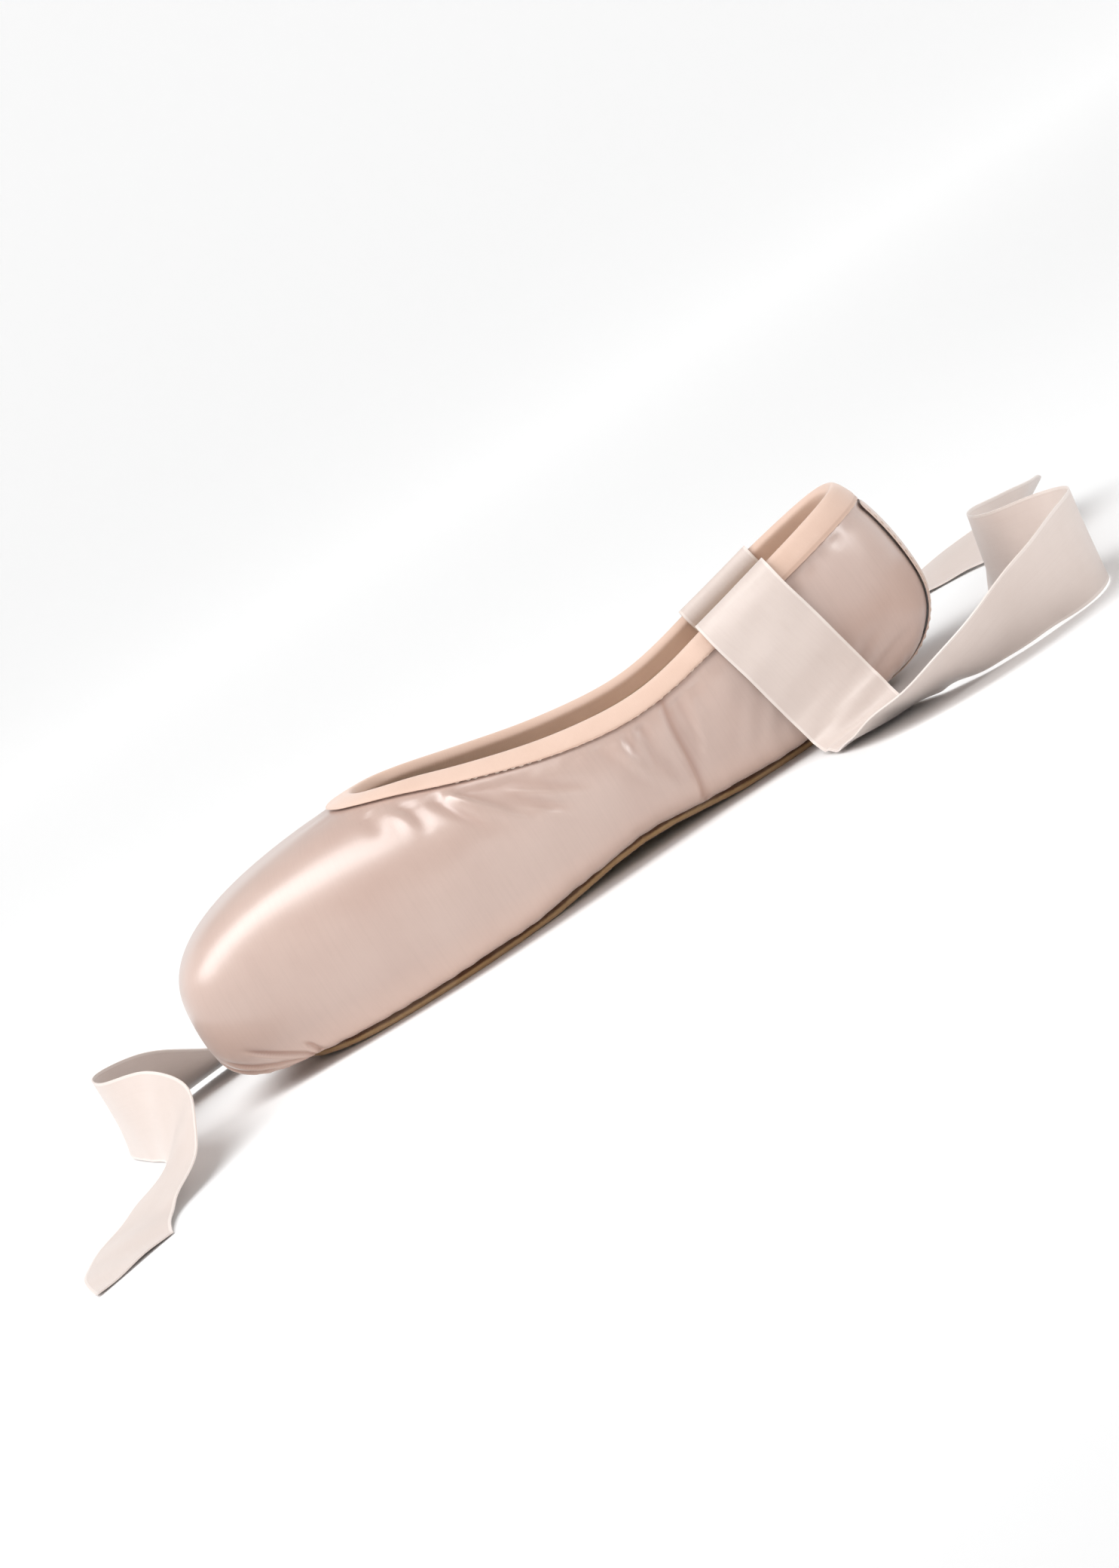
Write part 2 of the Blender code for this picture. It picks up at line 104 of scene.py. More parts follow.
# Each row: the middle of the ribbon in metres, then the way that its width points, as a heading from +X and a
# rise above the floor, in degrees. The stretch from the stitches over the collar is alike on both sides.
SEWN_STRETCH = (
    (-0.0710, 0.0246, 0.0275, 3, -13),
    (-0.0690, 0.0226, 0.0368, 3, -13),
    (-0.0673, 0.0191, 0.0431, 3, -13),
    (-0.0666, 0.0211, 0.0469, 3, -13),
    (-0.0669, 0.0252, 0.0451, 3, -13),
    (-0.0680, 0.0282, 0.0391, 3, -13),
    (-0.0703, 0.0301, 0.0297, 3, -13),
    (-0.0723, 0.0310, 0.0205, 3, -13),
    (-0.0742, 0.0316, 0.0120, 4, -12),
)
LEFT_STRETCH = (
    (-0.0756, 0.0336, 0.0054, 7, -8),
    (-0.0768, 0.0386, 0.0014, 11, -3),
    (-0.0786, 0.0460, 0.0006, 15, 1),
    (-0.0825, 0.0580, 0.0018, 21, 6),
    (-0.0910, 0.0710, 0.0045, 42, 18),
    (-0.1070, 0.0800, 0.0077, 73, 34),
    (-0.1270, 0.0780, 0.0115, 106, 61),
    (-0.1440, 0.0660, 0.0130, 136, 84),
    (-0.1520, 0.0460, 0.0129, 168, 82),
    (-0.1470, 0.0250, 0.0129, 196, 84),
    (-0.1360, 0.0070, 0.0131, 204, 90),
    (-0.1310, -0.0140, 0.0128, 182, 79),
    (-0.1360, -0.0360, 0.0115, 160, 61),
    (-0.1470, -0.0560, 0.0093, 158, 44),
    (-0.1510, -0.0790, 0.0067, 186, 29),
    (-0.1410, -0.1000, 0.0040, 222, 16),
    (-0.1200, -0.1120, 0.0017, 250, 5),
    (-0.0950, -0.1140, 0.0008, 268, 1),
    (-0.0690, -0.1120, 0.0008, 277, 1),
    (-0.0430, -0.1090, 0.0008, 272, 1),
    (-0.0180, -0.1110, 0.0006, 263, 0),
    (0.0040, -0.1160, 0.0006, 256, 0),
)
RIGHT_STRETCH = (
    (-0.0754, -0.0336, 0.0054, -6, -8),
    (-0.0758, -0.0386, 0.0014, -6, -3),
    (-0.0752, -0.0460, 0.0007, -2, 1),
    (-0.0720, -0.0580, 0.0023, 12, 8),
    (-0.0620, -0.0720, 0.0054, 36, 22),
    (-0.0430, -0.0820, 0.0092, 66, 42),
    (-0.0200, -0.0840, 0.0118, 94, 63),
    (0.0010, -0.0750, 0.0108, 114, 54),
    (0.0210, -0.0630, 0.0075, 118, 33),
    (0.0430, -0.0560, 0.0037, 102, 14),
    (0.0680, -0.0560, 0.0013, 86, 3),
    (0.0920, -0.0600, 0.0013, 84, 3),
    (0.1160, -0.0580, 0.0041, 104, 16),
    (0.1360, -0.0450, 0.0096, 134, 46),
    (0.1460, -0.0240, 0.0129, 165, 80),
    (0.1430, -0.0020, 0.0131, 195, 90),
    (0.1330, 0.0180, 0.0125, 206, 72),
    (0.1290, 0.0400, 0.0091, 184, 43),
    (0.1360, 0.0620, 0.0042, 160, 16),
    (0.1470, 0.0830, 0.0011, 160, 2),
    (0.1500, 0.1060, 0.0006, 178, 0),
    (0.1470, 0.1270, 0.0006, 188, 0),
)


def select_only(piece):
    """Makes this piece the one that operators act on."""
    for other in bpy.context.selected_objects:
        other.select_set(False)
    piece.select_set(True)
    bpy.context.view_layer.objects.active = piece


def finish_with(piece, kind, **settings):
    """Adds a modifier and applies it."""
    select_only(piece)
    modifier = piece.modifiers.new(kind.lower(), kind)
    for name, value in settings.items():
        setattr(modifier, name, value)
    bpy.ops.object.modifier_apply(modifier=modifier.name)


def smooth_line(points, count):
    """Evenly shared points on a smooth curve through a few chosen ones, which may carry more columns."""
    rows = np.array(points, float)
    rows = np.vstack([2 * rows[0] - rows[1], rows, 2 * rows[-1] - rows[-2]])
    place = np.linspace(0, len(points) - 1, count)
    index = np.minimum(place.astype(int), len(points) - 2)
    share = (place - index)[:, None]
    a, b, c, d = (rows[index + k] for k in range(4))
    return (b * 2 + (c - a) * share + (a * 2 - b * 5 + c * 4 - d) * share**2
            + (b * 3 - a - c * 3 + d) * share**3) / 2


def lengths_along(line):
    """Distance from the line's start to each of its points."""
    return np.concatenate([[0], np.cumsum(np.linalg.norm(np.diff(line, axis=0), axis=1))])


def unit(vectors):
    return vectors / np.maximum(np.linalg.norm(vectors, axis=-1, keepdims=True), 1e-12)


def read_points(mesh):
    """A mesh's vertices and their normals as two arrays."""
    places, normals = (np.empty(len(mesh.vertices) * 3) for _ in range(2))
    mesh.vertices.foreach_get("co", places)
    mesh.vertices.foreach_get("normal", normals)
    return places.reshape(-1, 3), normals.reshape(-1, 3)


def move_points(mesh, places):
    mesh.vertices.foreach_set("co", places.ravel())
    mesh.update()


def add_cloth_map(mesh, coordinates):
    """Keeps a pair of metres for each vertex as the UV map that the cloth's threads follow."""
    corners = np.empty(len(mesh.loops), int)
    mesh.loops.foreach_get("vertex_index", corners)
    layer = mesh.uv_layers.get("cloth") or mesh.uv_layers.new(name="cloth")
    layer.data.foreach_set("uv", coordinates[corners].ravel())


def fill_sockets(tree, made, sockets):
    """Gives each socket named its value, or links it to another node's output."""
    for name, value in sockets.items():
        if isinstance(value, bpy.types.NodeSocket):
            tree.links.new(value, made.inputs[name])
        else:
            made.inputs[name].default_value = value
    return made


def add_node(tree, kind, sockets=None, **settings):
    """A shader node with its settings and sockets filled in."""
    made = tree.nodes.new("ShaderNode" + kind)
    for name, value in settings.items():
        setattr(made, name, value)
    return fill_sockets(tree, made, sockets or {})


def start_group(name, inputs, outputs):
    """An empty node group with these numbers or vectors going in and these numbers coming out."""
    group = bpy.data.node_groups.new(name, "ShaderNodeTree")
    for socket in inputs:
        kind = "NodeSocketVector" if socket == "Vector" else "NodeSocketFloat"
        group.interface.new_socket(name=socket, in_out="INPUT", socket_type=kind)
    for socket in outputs:
        group.interface.new_socket(name=socket, in_out="OUTPUT", socket_type="NodeSocketFloat")
    return group, group.nodes.new("NodeGroupInput"), group.nodes.new("NodeGroupOutput")


def use_group(tree, group, sockets):
    """Places a node group in a material."""
    made = tree.nodes.new("ShaderNodeGroup")
    made.node_tree = group
    return fill_sockets(tree, made, sockets)


def math_node(tree, operation, first, second=0.0, third=0.0):
    """One sum on numbers or outputs; the result's socket."""
    return add_node(tree, "Math", {0: first, 1: second, 2: third}, operation=operation).outputs[0]


def start_material(name, **constants):
    """A Principled material with its constant sockets set, its tree, and its shader."""
    material = bpy.data.materials.new(name)
    material.use_nodes = True
    shader = material.node_tree.nodes["Principled BSDF"]
    for socket, value in constants.items():
        shader.inputs[socket.replace("_", " ")].default_value = value
    return material, material.node_tree, shader


def mix_colours(tree, factor, first, second):
    """Colour between two, by a factor; its output socket."""
    first, second = ((*colour, 1) if isinstance(colour, tuple) else colour for colour in (first, second))
    return add_node(tree, "Mix", {0: factor, 6: first, 7: second}, data_type="RGBA").outputs[2]


def tint(tree, tone, mask, share, colour):
    """The tone so far, drawn towards a colour by a share of a mask."""
    return mix_colours(tree, math_node(tree, "MULTIPLY", mask, share), tone, colour)


def distance_from(tree, value, place):
    return math_node(tree, "ABSOLUTE", math_node(tree, "SUBTRACT", value, place))


def finish_shader(tree, shader, tone, height, strength, distance):
    """Joins the finished tone, and a height as bump, to the shader."""
    tree.links.new(tone, shader.inputs["Base Color"])
    bump = add_node(tree, "Bump", {"Strength": strength, "Distance": distance, "Height": height})
    tree.links.new(bump.outputs[0], shader.inputs["Normal"])


# Threads: fine floats that run one way, uneven in thickness, with now and then a thicker one.
threads, at, out = start_group("threads", ("Vector", "Across", "Along"), ("Height", "Slub"))
parts = add_node(threads, "SeparateXYZ", {0: at.outputs["Vector"]})
fine = add_node(threads, "CombineXYZ", {
    0: math_node(threads, "MULTIPLY", parts.outputs[0], at.outputs["Across"]),
    1: math_node(threads, "MULTIPLY", parts.outputs[1], at.outputs["Along"]),
    2: parts.outputs[2],
})
run = add_node(threads, "TexNoise", {"Vector": fine.outputs[0], "Scale": 1.0, "Detail": 2.0})
threads.links.new(run.outputs[0], out.inputs["Height"])
slub = add_node(threads, "TexNoise", {"Vector": fine.outputs[0], "Scale": 0.13, "Detail": 3.0})
slub_range = add_node(threads, "MapRange", {0: slub.outputs[0], 1: 0.45, 2: 0.75})
threads.links.new(slub_range.outputs[0], out.inputs["Slub"])

# Cloudiness: large soft patches broken by smaller ones, from 0 to 1.
clouds, at, out = start_group("clouds", ("Vector", "Scale", "Contrast"), ("Mask",))
patches = add_node(clouds, "TexNoise", {
    "Vector": at.outputs["Vector"], "Scale": at.outputs["Scale"], "Detail": 5.0, "Roughness": 0.6,
})
low_end = math_node(clouds, "SUBTRACT", 0.5, at.outputs["Contrast"])
high_end = math_node(clouds, "ADD", 0.5, at.outputs["Contrast"])
patch_range = add_node(clouds, "MapRange", {0: patches.outputs[0], 1: low_end, 2: high_end})
clouds.links.new(patch_range.outputs[0], out.inputs["Mask"])

# Ribbon satin: close threads along it, wefts across, and a paler woven edge.
ribbon_satin, tree, shader = start_material(
    "ribbon satin", Roughness=0.38, Anisotropic=0.4, Sheen_Weight=0.25, Sheen_Roughness=0.4,
    Specular_IOR_Level=0.6,
)
cloth = add_node(tree, "UVMap", uv_map="cloth").outputs[0]
objects = add_node(tree, "TexCoord").outputs["Object"]
weave = use_group(tree, threads, {"Vector": cloth, "Across": 500.0, "Along": 12000.0})
turned = add_node(tree, "VectorRotate", {"Vector": cloth, "Angle": pi / 2}, rotation_type="Z_AXIS").outputs[0]
wefts = use_group(tree, threads, {"Vector": turned, "Across": 900.0, "Along": 6200.0})
patchy = use_group(tree, clouds, {"Vector": objects, "Scale": 38.0, "Contrast": 0.25})
tone = mix_colours(tree, patchy.outputs[0], (0.64, 0.54, 0.49), (0.71, 0.61, 0.56))
tone = tint(tree, tone, weave.outputs["Slub"], 0.2, (0.61, 0.50, 0.45))
across = add_node(tree, "SeparateXYZ", {0: cloth}).outputs[1]
from_edge = math_node(tree, "SUBTRACT", RIBBON_WIDTH / 2, math_node(tree, "ABSOLUTE", across))
edge_mask = add_node(tree, "MapRange", {0: from_edge, 1: 0.0009, 2: 0.0006}).outputs[0]
tone = tint(tree, tone, edge_mask, 0.5, (0.86, 0.78, 0.73))
height = math_node(tree, "MULTIPLY_ADD", wefts.outputs["Height"], 0.5, weave.outputs["Height"])
height = math_node(tree, "MULTIPLY_ADD", edge_mask, 1.5, height)
finish_shader(tree, shader, tone, height, 0.5, 0.00008)

# Sewing thread: pale twisted cotton.
thread_cotton, tree, shader = start_material("sewing thread", Roughness=0.62, Sheen_Weight=0.3)
objects = add_node(tree, "TexCoord").outputs["Object"]
twist = add_node(tree, "TexNoise", {"Vector": objects, "Scale": 2600.0, "Detail": 2.0})
tone = mix_colours(tree, twist.outputs[0], (0.62, 0.48, 0.39), (0.88, 0.76, 0.66))
finish_shader(tree, shader, tone, twist.outputs[0], 0.5, 0.00008)


def even_points(line, pitch):
    """Places on a line at an even pitch, and the way that the line runs at each."""
    walked = lengths_along(line)
    count = max(2, round(walked[-1] / pitch))
    marks = (np.arange(count) + 0.5) * walked[-1] / count
    places = np.stack([np.interp(marks, walked, column) for column in line.T], axis=1)
    index = np.clip(np.searchsorted(walked, marks) - 1, 0, len(line) - 2)
    return places, unit(line[index + 1] - line[index])


def sew(name, slot, length, thickness, places, headings, outward):
    """A row of stitches as one piece. Each is crowned and turns its ends down into the work."""
    bpy.ops.mesh.primitive_uv_sphere_add(segments=8, ring_count=6, radius=1)
    stitch = bpy.context.object
    ball = read_points(stitch.data)[0]
    crown = 0.45 * (1 - 1.6 * ball[:, 2] ** 2) * thickness
    move_points(stitch.data, np.stack([
        ball[:, 2] * length / 2, ball[:, 0] * thickness / 2, ball[:, 1] * thickness / 2 + crown], axis=1))
    stitch.data.materials.append(thread_cotton)
    stitch.data.shade_smooth()
    select_only(stitch)
    for place, heading, up in zip(places, headings, outward):
        x = Vector(heading).normalized()
        z = (Vector(up) - x * Vector(up).dot(x)).normalized()
        laid = stitch.copy()
        laid.data = stitch.data.copy()
        laid.data.transform(Matrix.Translation(place) @ Matrix((x, z.cross(x), z)).transposed().to_4x4())
        bpy.context.scene.collection.objects.link(laid)
        laid.select_set(True)
        bpy.context.view_layer.objects.active = laid
    stitch.select_set(False)
    bpy.ops.object.join()
    row = bpy.context.object
    row.name = row.data.name = name
    bpy.data.objects.remove(stitch)
    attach(row, "root")


def read_rows(values, rows):
    """Values kept for each row of a ribbon, read between the rows."""
    return np.stack([np.interp(rows, np.arange(len(values)), column) for column in values.T], axis=1)


# The ribbon's end is sewn down inside the quarter by a square of stitches: its reach along and half across.
SQUARE_ALONG = (0.0022, 0.0122)
SQUARE_ACROSS = 0.0105
SQUARE_PITCH = 2.6 * MM
SQUARE_STITCH = (1.9 * MM, 0.4 * MM)

for side, sign, stretch in (("left", 1, LEFT_STRETCH), ("right", -1, RIGHT_STRETCH)):
    route = [(x, sign * y, z, sign * heading, rise) for x, y, z, heading, rise in SEWN_STRETCH]
    run = smooth_line(route + list(stretch), RIBBON_ROWS + 1)
    middle, heading, rise = run[:, :3], np.radians(run[:, 3]), np.radians(run[:, 4])
    width = np.stack([np.cos(rise) * np.cos(heading), np.cos(rise) * np.sin(heading), np.sin(rise)], axis=1)
    along = unit(np.gradient(middle, axis=0))
    width = unit(width - along * np.sum(width * along, axis=1, keepdims=True))
    face = np.cross(along, width)
    length = lengths_along(middle)[-1]

    bpy.ops.mesh.primitive_grid_add(x_subdivisions=RIBBON_ROWS, y_subdivisions=RIBBON_COLUMNS, size=1)
    ribbon = bpy.context.object
    ribbon.name = ribbon.data.name = f"ribbon_of_{side}_quarter"
    flat = read_points(ribbon.data)[0]
    share, across = flat[:, 0] + 0.5, flat[:, 1]
    share = share * (1 - RIBBON_SLANT * (across + 0.5) * RIBBON_WIDTH / length)
    rows = share * RIBBON_ROWS
    freed = np.clip((share * length - RIPPLE_START) / RIPPLE_FADE, 0, 1)
    phase = share * length / RIPPLE_PITCH * pi
    ripple = np.sin(2 * phase + 2.5 * across) + 0.6 * np.sin(3.7 * phase - 4 * across)
    lift = (ripple + 1.6) / 2 * RIPPLE_HEIGHT * freed
    facing = read_rows(face, rows)
    facing *= np.clip(facing[:, 2:] / 0.35, -1, 1)
    places = read_rows(middle, rows) + read_rows(width, rows) * (across * RIBBON_WIDTH)[:, None]
    places += facing * lift[:, None]
    move_points(ribbon.data, places)
    add_cloth_map(ribbon.data, np.stack([share * length, across * RIBBON_WIDTH], axis=1))
    finish_with(ribbon, "SOLIDIFY", thickness=RIBBON_THICKNESS, offset=0)
    ribbon.data.materials.append(ribbon_satin)
    ribbon.data.shade_smooth()
    ribbon.data.set_sharp_from_angle(angle=radians(60))
    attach(ribbon, "root")
    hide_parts(f"ribbon_{side}")

    near, far = SQUARE_ALONG
    square = np.array([(near, -1), (far, -1), (far, 1), (near, 1), (near, -1)]) * (1, SQUARE_ACROSS)
    spots, ways = even_points(square, SQUARE_PITCH)
    spot_rows = np.interp(spots[:, 0], lengths_along(middle), np.arange(RIBBON_ROWS + 1))
    inward = read_rows(face, spot_rows)
    inward *= -sign * np.sign(inward[:, 1:2])
    places = read_rows(middle, spot_rows) + read_rows(width, spot_rows) * spots[:, 1:]
    headings = read_rows(along, spot_rows) * ways[:, :1] + read_rows(width, spot_rows) * ways[:, 1:]
    sew(f"stitches_of_{side}_ribbon", "ribbon_satin", *SQUARE_STITCH,
        places + inward * RIBBON_THICKNESS / 2, headings, inward)


# Upper. Peach satin over canvas, closed by a seam at each side and pulled down round the last. The box and
# platform are stiff with paste under the satin, the quarters are soft, and the lining is plain cotton.
MERGE_DISTANCE = 0.01 * MM


def dress_copy(node, name, *materials):
    """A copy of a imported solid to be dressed, its doubles merged and its triangles paired into quads."""
    piece = bpy.data.objects.new(name, frame["nodes"][node].data.copy())
    piece.data.name = name
    bpy.context.scene.collection.objects.link(piece)
    select_only(piece)
    bpy.ops.mesh.customdata_custom_splitnormals_clear()
    bpy.ops.object.mode_set(mode="EDIT")
    bpy.ops.mesh.select_all(action="SELECT")
    bpy.ops.mesh.remove_doubles(threshold=MERGE_DISTANCE)
    bpy.ops.mesh.tris_convert_to_quads(
        face_threshold=radians(90), shape_threshold=radians(120), topology_influence=1.5
    )
    bpy.ops.object.mode_set(mode="OBJECT")
    piece.data.materials.clear()
    for material in materials:
        piece.data.materials.append(material)
    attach(piece, "root")
    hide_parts(node)
    return piece


def select_faces(piece, wanted):
    """Selects the faces for which a test is true, in edit mode."""
    select_only(piece)
    bpy.ops.object.mode_set(mode="EDIT")
    bpy.ops.mesh.select_mode(type="FACE")
    bpy.ops.mesh.select_all(action="DESELECT")
    bpy.ops.object.mode_set(mode="OBJECT")
    for face in piece.data.polygons:
        face.select = wanted(face)
    bpy.ops.object.mode_set(mode="EDIT")


def split_lengthwise(piece, low, high):
    """Cuts every edge along the shoe in two, by the rings of the level edges between two heights."""
    select_only(piece)
    bpy.ops.object.mode_set(mode="EDIT")
    bpy.ops.mesh.select_mode(type="EDGE")
    bpy.ops.mesh.select_all(action="DESELECT")
    bpy.ops.object.mode_set(mode="OBJECT")
    for edge in piece.data.edges:
        start, end = (piece.data.vertices[v].co for v in edge.vertices)
        edge.select = low < start.z < high and abs(end.z - start.z) < 0.5 * (end - start).length
    bpy.ops.object.mode_set(mode="EDIT")
    bpy.ops.mesh.loop_multi_select(ring=True)
    bpy.ops.mesh.subdivide(number_cuts=1, smoothness=1.0)
    bpy.ops.object.mode_set(mode="OBJECT")


def nearest_on_line(points, line):
    """For each point: its distance from a line, which side of it, and how far along it lies, in metres."""
    stretch = np.full(len(points), np.inf)
    along = np.zeros(len(points))
    offset = np.zeros((len(points), 3))
    heading = np.zeros((len(points), 3))
    starts = lengths_along(line)
    for a, b, walked in zip(line[:-1], line[1:], starts):
        run = b - a
        share = np.clip((points - a) @ run / (run @ run), 0, 1)
        gap = points - a - share[:, None] * run
        distance = np.linalg.norm(gap, axis=1)
        nearer = distance < stretch
        stretch[nearer] = distance[nearer]
        along[nearer] = walked + share[nearer] * np.linalg.norm(run)
        offset[nearer] = gap[nearer]
        heading[nearer] = run / np.linalg.norm(run)
    return stretch, along, offset, heading


def smooth_step(values, start, end):
    """0 before start, 1 after end, and a soft ramp between."""
    share = np.clip((values - start) / (end - start), 0, 1)
    return share * share * (3 - 2 * share)


def satin_cloth(name, pale, deep, **constants):
    """Satin of one colour: fine floats down the cloth map, soft cloudiness, and painted shade that darkens
    its folds.
    Gives the material, its tree and shader, its tone so far, and the Object coordinates."""
    material, tree, shader = start_material(name, **constants)
    cloth = add_node(tree, "UVMap", uv_map="cloth").outputs[0]
    objects = add_node(tree, "TexCoord").outputs["Object"]
    weave = use_group(tree, threads, {"Vector": cloth, "Across": 12000.0, "Along": 380.0})
    patchy = use_group(tree, clouds, {"Vector": objects, "Scale": 26.0, "Contrast": 0.25})
    tone = mix_colours(tree, patchy.outputs[0], deep, pale)
    tone = tint(tree, tone, weave.outputs["Slub"], 0.16, tuple(0.8 * part for part in deep))
    # Painted shade: the satin's colour is darkened in its folds by this attribute, which also dulls the
    # roughness.
    fold_shade_and_dullness = add_node(tree, "Attribute", attribute_name="fold_shade_and_dullness").outputs["Fac"]
    tone = tint(tree, tone, fold_shade_and_dullness, 0.75, (deep[0] * 0.66, deep[1] * 0.50, deep[2] * 0.44))
    dull = math_node(tree, "MULTIPLY_ADD", patchy.outputs[0], 0.05, 0.29)
    tree.links.new(math_node(tree, "MULTIPLY_ADD", fold_shade_and_dullness, 0.2, dull), shader.inputs["Roughness"])
    bump = add_node(tree, "Bump", {"Strength": 0.3, "Distance": 0.00005, "Height": weave.outputs["Height"]})
    tree.links.new(bump.outputs[0], shader.inputs["Normal"])
    return material, tree, shader, tone, objects


# The side seam runs from the sole up to the binding, leaning back: its place at the sole's line and its lean.
SEAM_FOOT = (-32.0 * MM, 3.0 * MM)
SEAM_LEAN = 5.0 / 35.0

satin, tree, shader, tone, objects = satin_cloth(
    "shoe satin", (0.565, 0.42, 0.36), (0.50, 0.35, 0.295), Anisotropic=0.5, Sheen_Weight=0.25,
    Sheen_Roughness=0.4, Specular_IOR_Level=1.0, Coat_Weight=0.5, Coat_Roughness=0.29,
)
place = add_node(tree, "SeparateXYZ", {0: objects})
from_foot = math_node(tree, "SUBTRACT", place.outputs[2], SEAM_FOOT[1])
seam_x = math_node(tree, "MULTIPLY_ADD", from_foot, -SEAM_LEAN, SEAM_FOOT[0])
from_seam = distance_from(tree, place.outputs[0], seam_x)
seam_mask = add_node(tree, "MapRange", {0: from_seam, 1: 0.45 * MM, 2: 0.15 * MM}).outputs[0]
tone = tint(tree, tone, seam_mask, 0.55, (0.40, 0.24, 0.18))
# Painted shade: a dark spot in the small notch at the seam's foot.
notch_reach = math_node(tree, "MULTIPLY_ADD", math_node(tree, "ABSOLUTE", from_foot), 0.8, from_seam)
seam_foot_notch_shade = add_node(tree, "MapRange", {0: notch_reach, 1: 2.2 * MM, 2: 0.9 * MM}).outputs[0]
tone = tint(tree, tone, seam_foot_notch_shade, 0.8, (0.16, 0.08, 0.05))
# Light smudges low on the toe, where the shoe stands.
smudge = use_group(tree, clouds, {"Vector": objects, "Scale": 140.0, "Contrast": 0.12})
low = add_node(tree, "MapRange", {0: place.outputs[2], 1: 9 * MM, 2: 3 * MM}).outputs[0]
forward = add_node(tree, "MapRange", {0: place.outputs[0], 1: 0.07, 2: 0.11}).outputs[0]
worn = math_node(tree, "MULTIPLY", math_node(tree, "MULTIPLY", low, forward), smudge.outputs[0])
tone = tint(tree, tone, worn, 0.3, (0.45, 0.33, 0.27))
# The satin is a little warmer where it turns under to the sole.
turned = add_node(tree, "MapRange", {0: place.outputs[2], 1: 13 * MM, 2: 3 * MM}).outputs[0]
tone = tint(tree, tone, turned, 0.35, (0.74, 0.50, 0.39))
tree.links.new(tone, shader.inputs["Base Color"])

# Plain weave: threads over and under each other, as a height.
plain_weave, at, out = start_group("plain weave", ("Vector", "Pitch"), ("Height",))
parts = add_node(plain_weave, "SeparateXYZ", {0: at.outputs["Vector"]})
turns = math_node(plain_weave, "DIVIDE", pi, at.outputs["Pitch"])
phases = [math_node(plain_weave, "MULTIPLY", parts.outputs[axis], turns) for axis in (0, 1)]
warp, weft = (math_node(plain_weave, "SINE", phase) for phase in phases)
woven = math_node(plain_weave, "MULTIPLY", warp, weft)
plain_weave.links.new(math_node(plain_weave, "MULTIPLY_ADD", woven, 0.5, 0.5), out.inputs["Height"])


def cotton_cloth(name, pale, deep, pitch, mapped):
    """Plain-woven cotton, on the cloth map or on Object coordinates."""
    material, tree, shader = start_material(name, Roughness=0.88, Sheen_Weight=0.25, Specular_IOR_Level=0.3)
    objects = add_node(tree, "TexCoord").outputs["Object"]
    cloth = add_node(tree, "UVMap", uv_map="cloth").outputs[0] if mapped else objects
    weave = use_group(tree, plain_weave, {"Vector": cloth, "Pitch": pitch})
    patchy = use_group(tree, clouds, {"Vector": objects, "Scale": 60.0, "Contrast": 0.3})
    tone = mix_colours(tree, patchy.outputs[0], deep, pale)
    # Painted shade: the weave's low points, between the threads, are darker.
    weave_gap_shade = add_node(tree, "MapRange", {0: weave.outputs[0], 1: 0.25, 2: 0.05, 4: 0.3}).outputs[0]
    tone = mix_colours(tree, weave_gap_shade, tone, tuple(0.6 * part for part in deep))
    finish_shader(tree, shader, tone, weave.outputs[0], 0.5, 0.0001)
    return material


lining_cotton = cotton_cloth("lining cotton", (0.82, 0.70, 0.58), (0.72, 0.59, 0.48), 0.45 * MM, True)

# A face at least this far out at the ball is surely satin, and the rest of the satin is found from it.
BALL_SIDE = 37 * MM
LEVEL_RINGS = (15 * MM, 25 * MM)
# The toe's lower rim, in front of and below these, carries fine pleats.
RIM_REAR = 78 * MM
RIM_TOP = 22 * MM
LINING_KEPT = 0.6

upper = dress_copy("upper", "satin_upper", satin, lining_cotton)
select_faces(upper, lambda face: face.center.y > BALL_SIDE and face.normal.y > 0.9)
bpy.ops.mesh.faces_select_linked_flat(sharpness=radians(60))
bpy.ops.object.mode_set(mode="OBJECT")
for face in upper.data.polygons:
    face.material_index = 0 if face.select else 1
finish_with(upper, "SUBSURF", levels=1, render_levels=1)
split_lengthwise(upper, *LEVEL_RINGS)
finish_with(upper, "SUBSURF", levels=1, render_levels=1)
select_faces(upper, lambda face: (
    face.material_index == 0 and face.center.x > RIM_REAR and face.center.z < RIM_TOP))
bpy.ops.mesh.subdivide(number_cuts=1, smoothness=1.0)
bpy.ops.object.mode_set(mode="OBJECT")
# The lining is smooth, so it keeps fewer faces.
select_faces(upper, lambda face: face.material_index == 1)
bpy.ops.mesh.select_less()
bpy.ops.mesh.decimate(ratio=LINING_KEPT)
bpy.ops.object.mode_set(mode="OBJECT")
upper.data.shade_smooth()

HEEL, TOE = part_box("upper")[0].x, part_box("upper")[1].x
END_ROUND = 0.10
CORE_HEIGHT = 20 * MM
SEAM_AROUND = (0.336, 0.357)

outer_skin = [tuple(face.vertices) for face in upper.data.polygons if face.material_index == 0]
skin_tree = BVHTree.FromPolygons([v.co for v in upper.data.vertices], outer_skin)


def on_skin(side, around, rise):
    """Point on the upper's skin, met by a line from the core of the shoe. around is 0 at the heel's back and
    1 at the toe's front, and rise is the line's slope in degrees; side is 1 left and -1 right."""
    core = HEEL + min(max(around, END_ROUND), 1 - END_ROUND) * (TOE - HEEL)
    heading = 90 * min(1, around / END_ROUND, (1 - around) / END_ROUND)
    heading = radians(heading if around > 0.5 else 180 - heading)
    rise = radians(rise)
    ray = Vector((cos(heading) * cos(rise), side * sin(heading) * cos(rise), sin(rise)))
    return skin_tree.ray_cast(Vector((core, 0, CORE_HEIGHT)), ray)[0]


def skin_line(side, points, count=14):
    """A smooth line on the skin through chosen places of (around, rise), as far as the skin reaches."""
    met = [on_skin(side, around, rise) for around, rise in smooth_line(points, count)]
    return np.array([place for place in met if place])


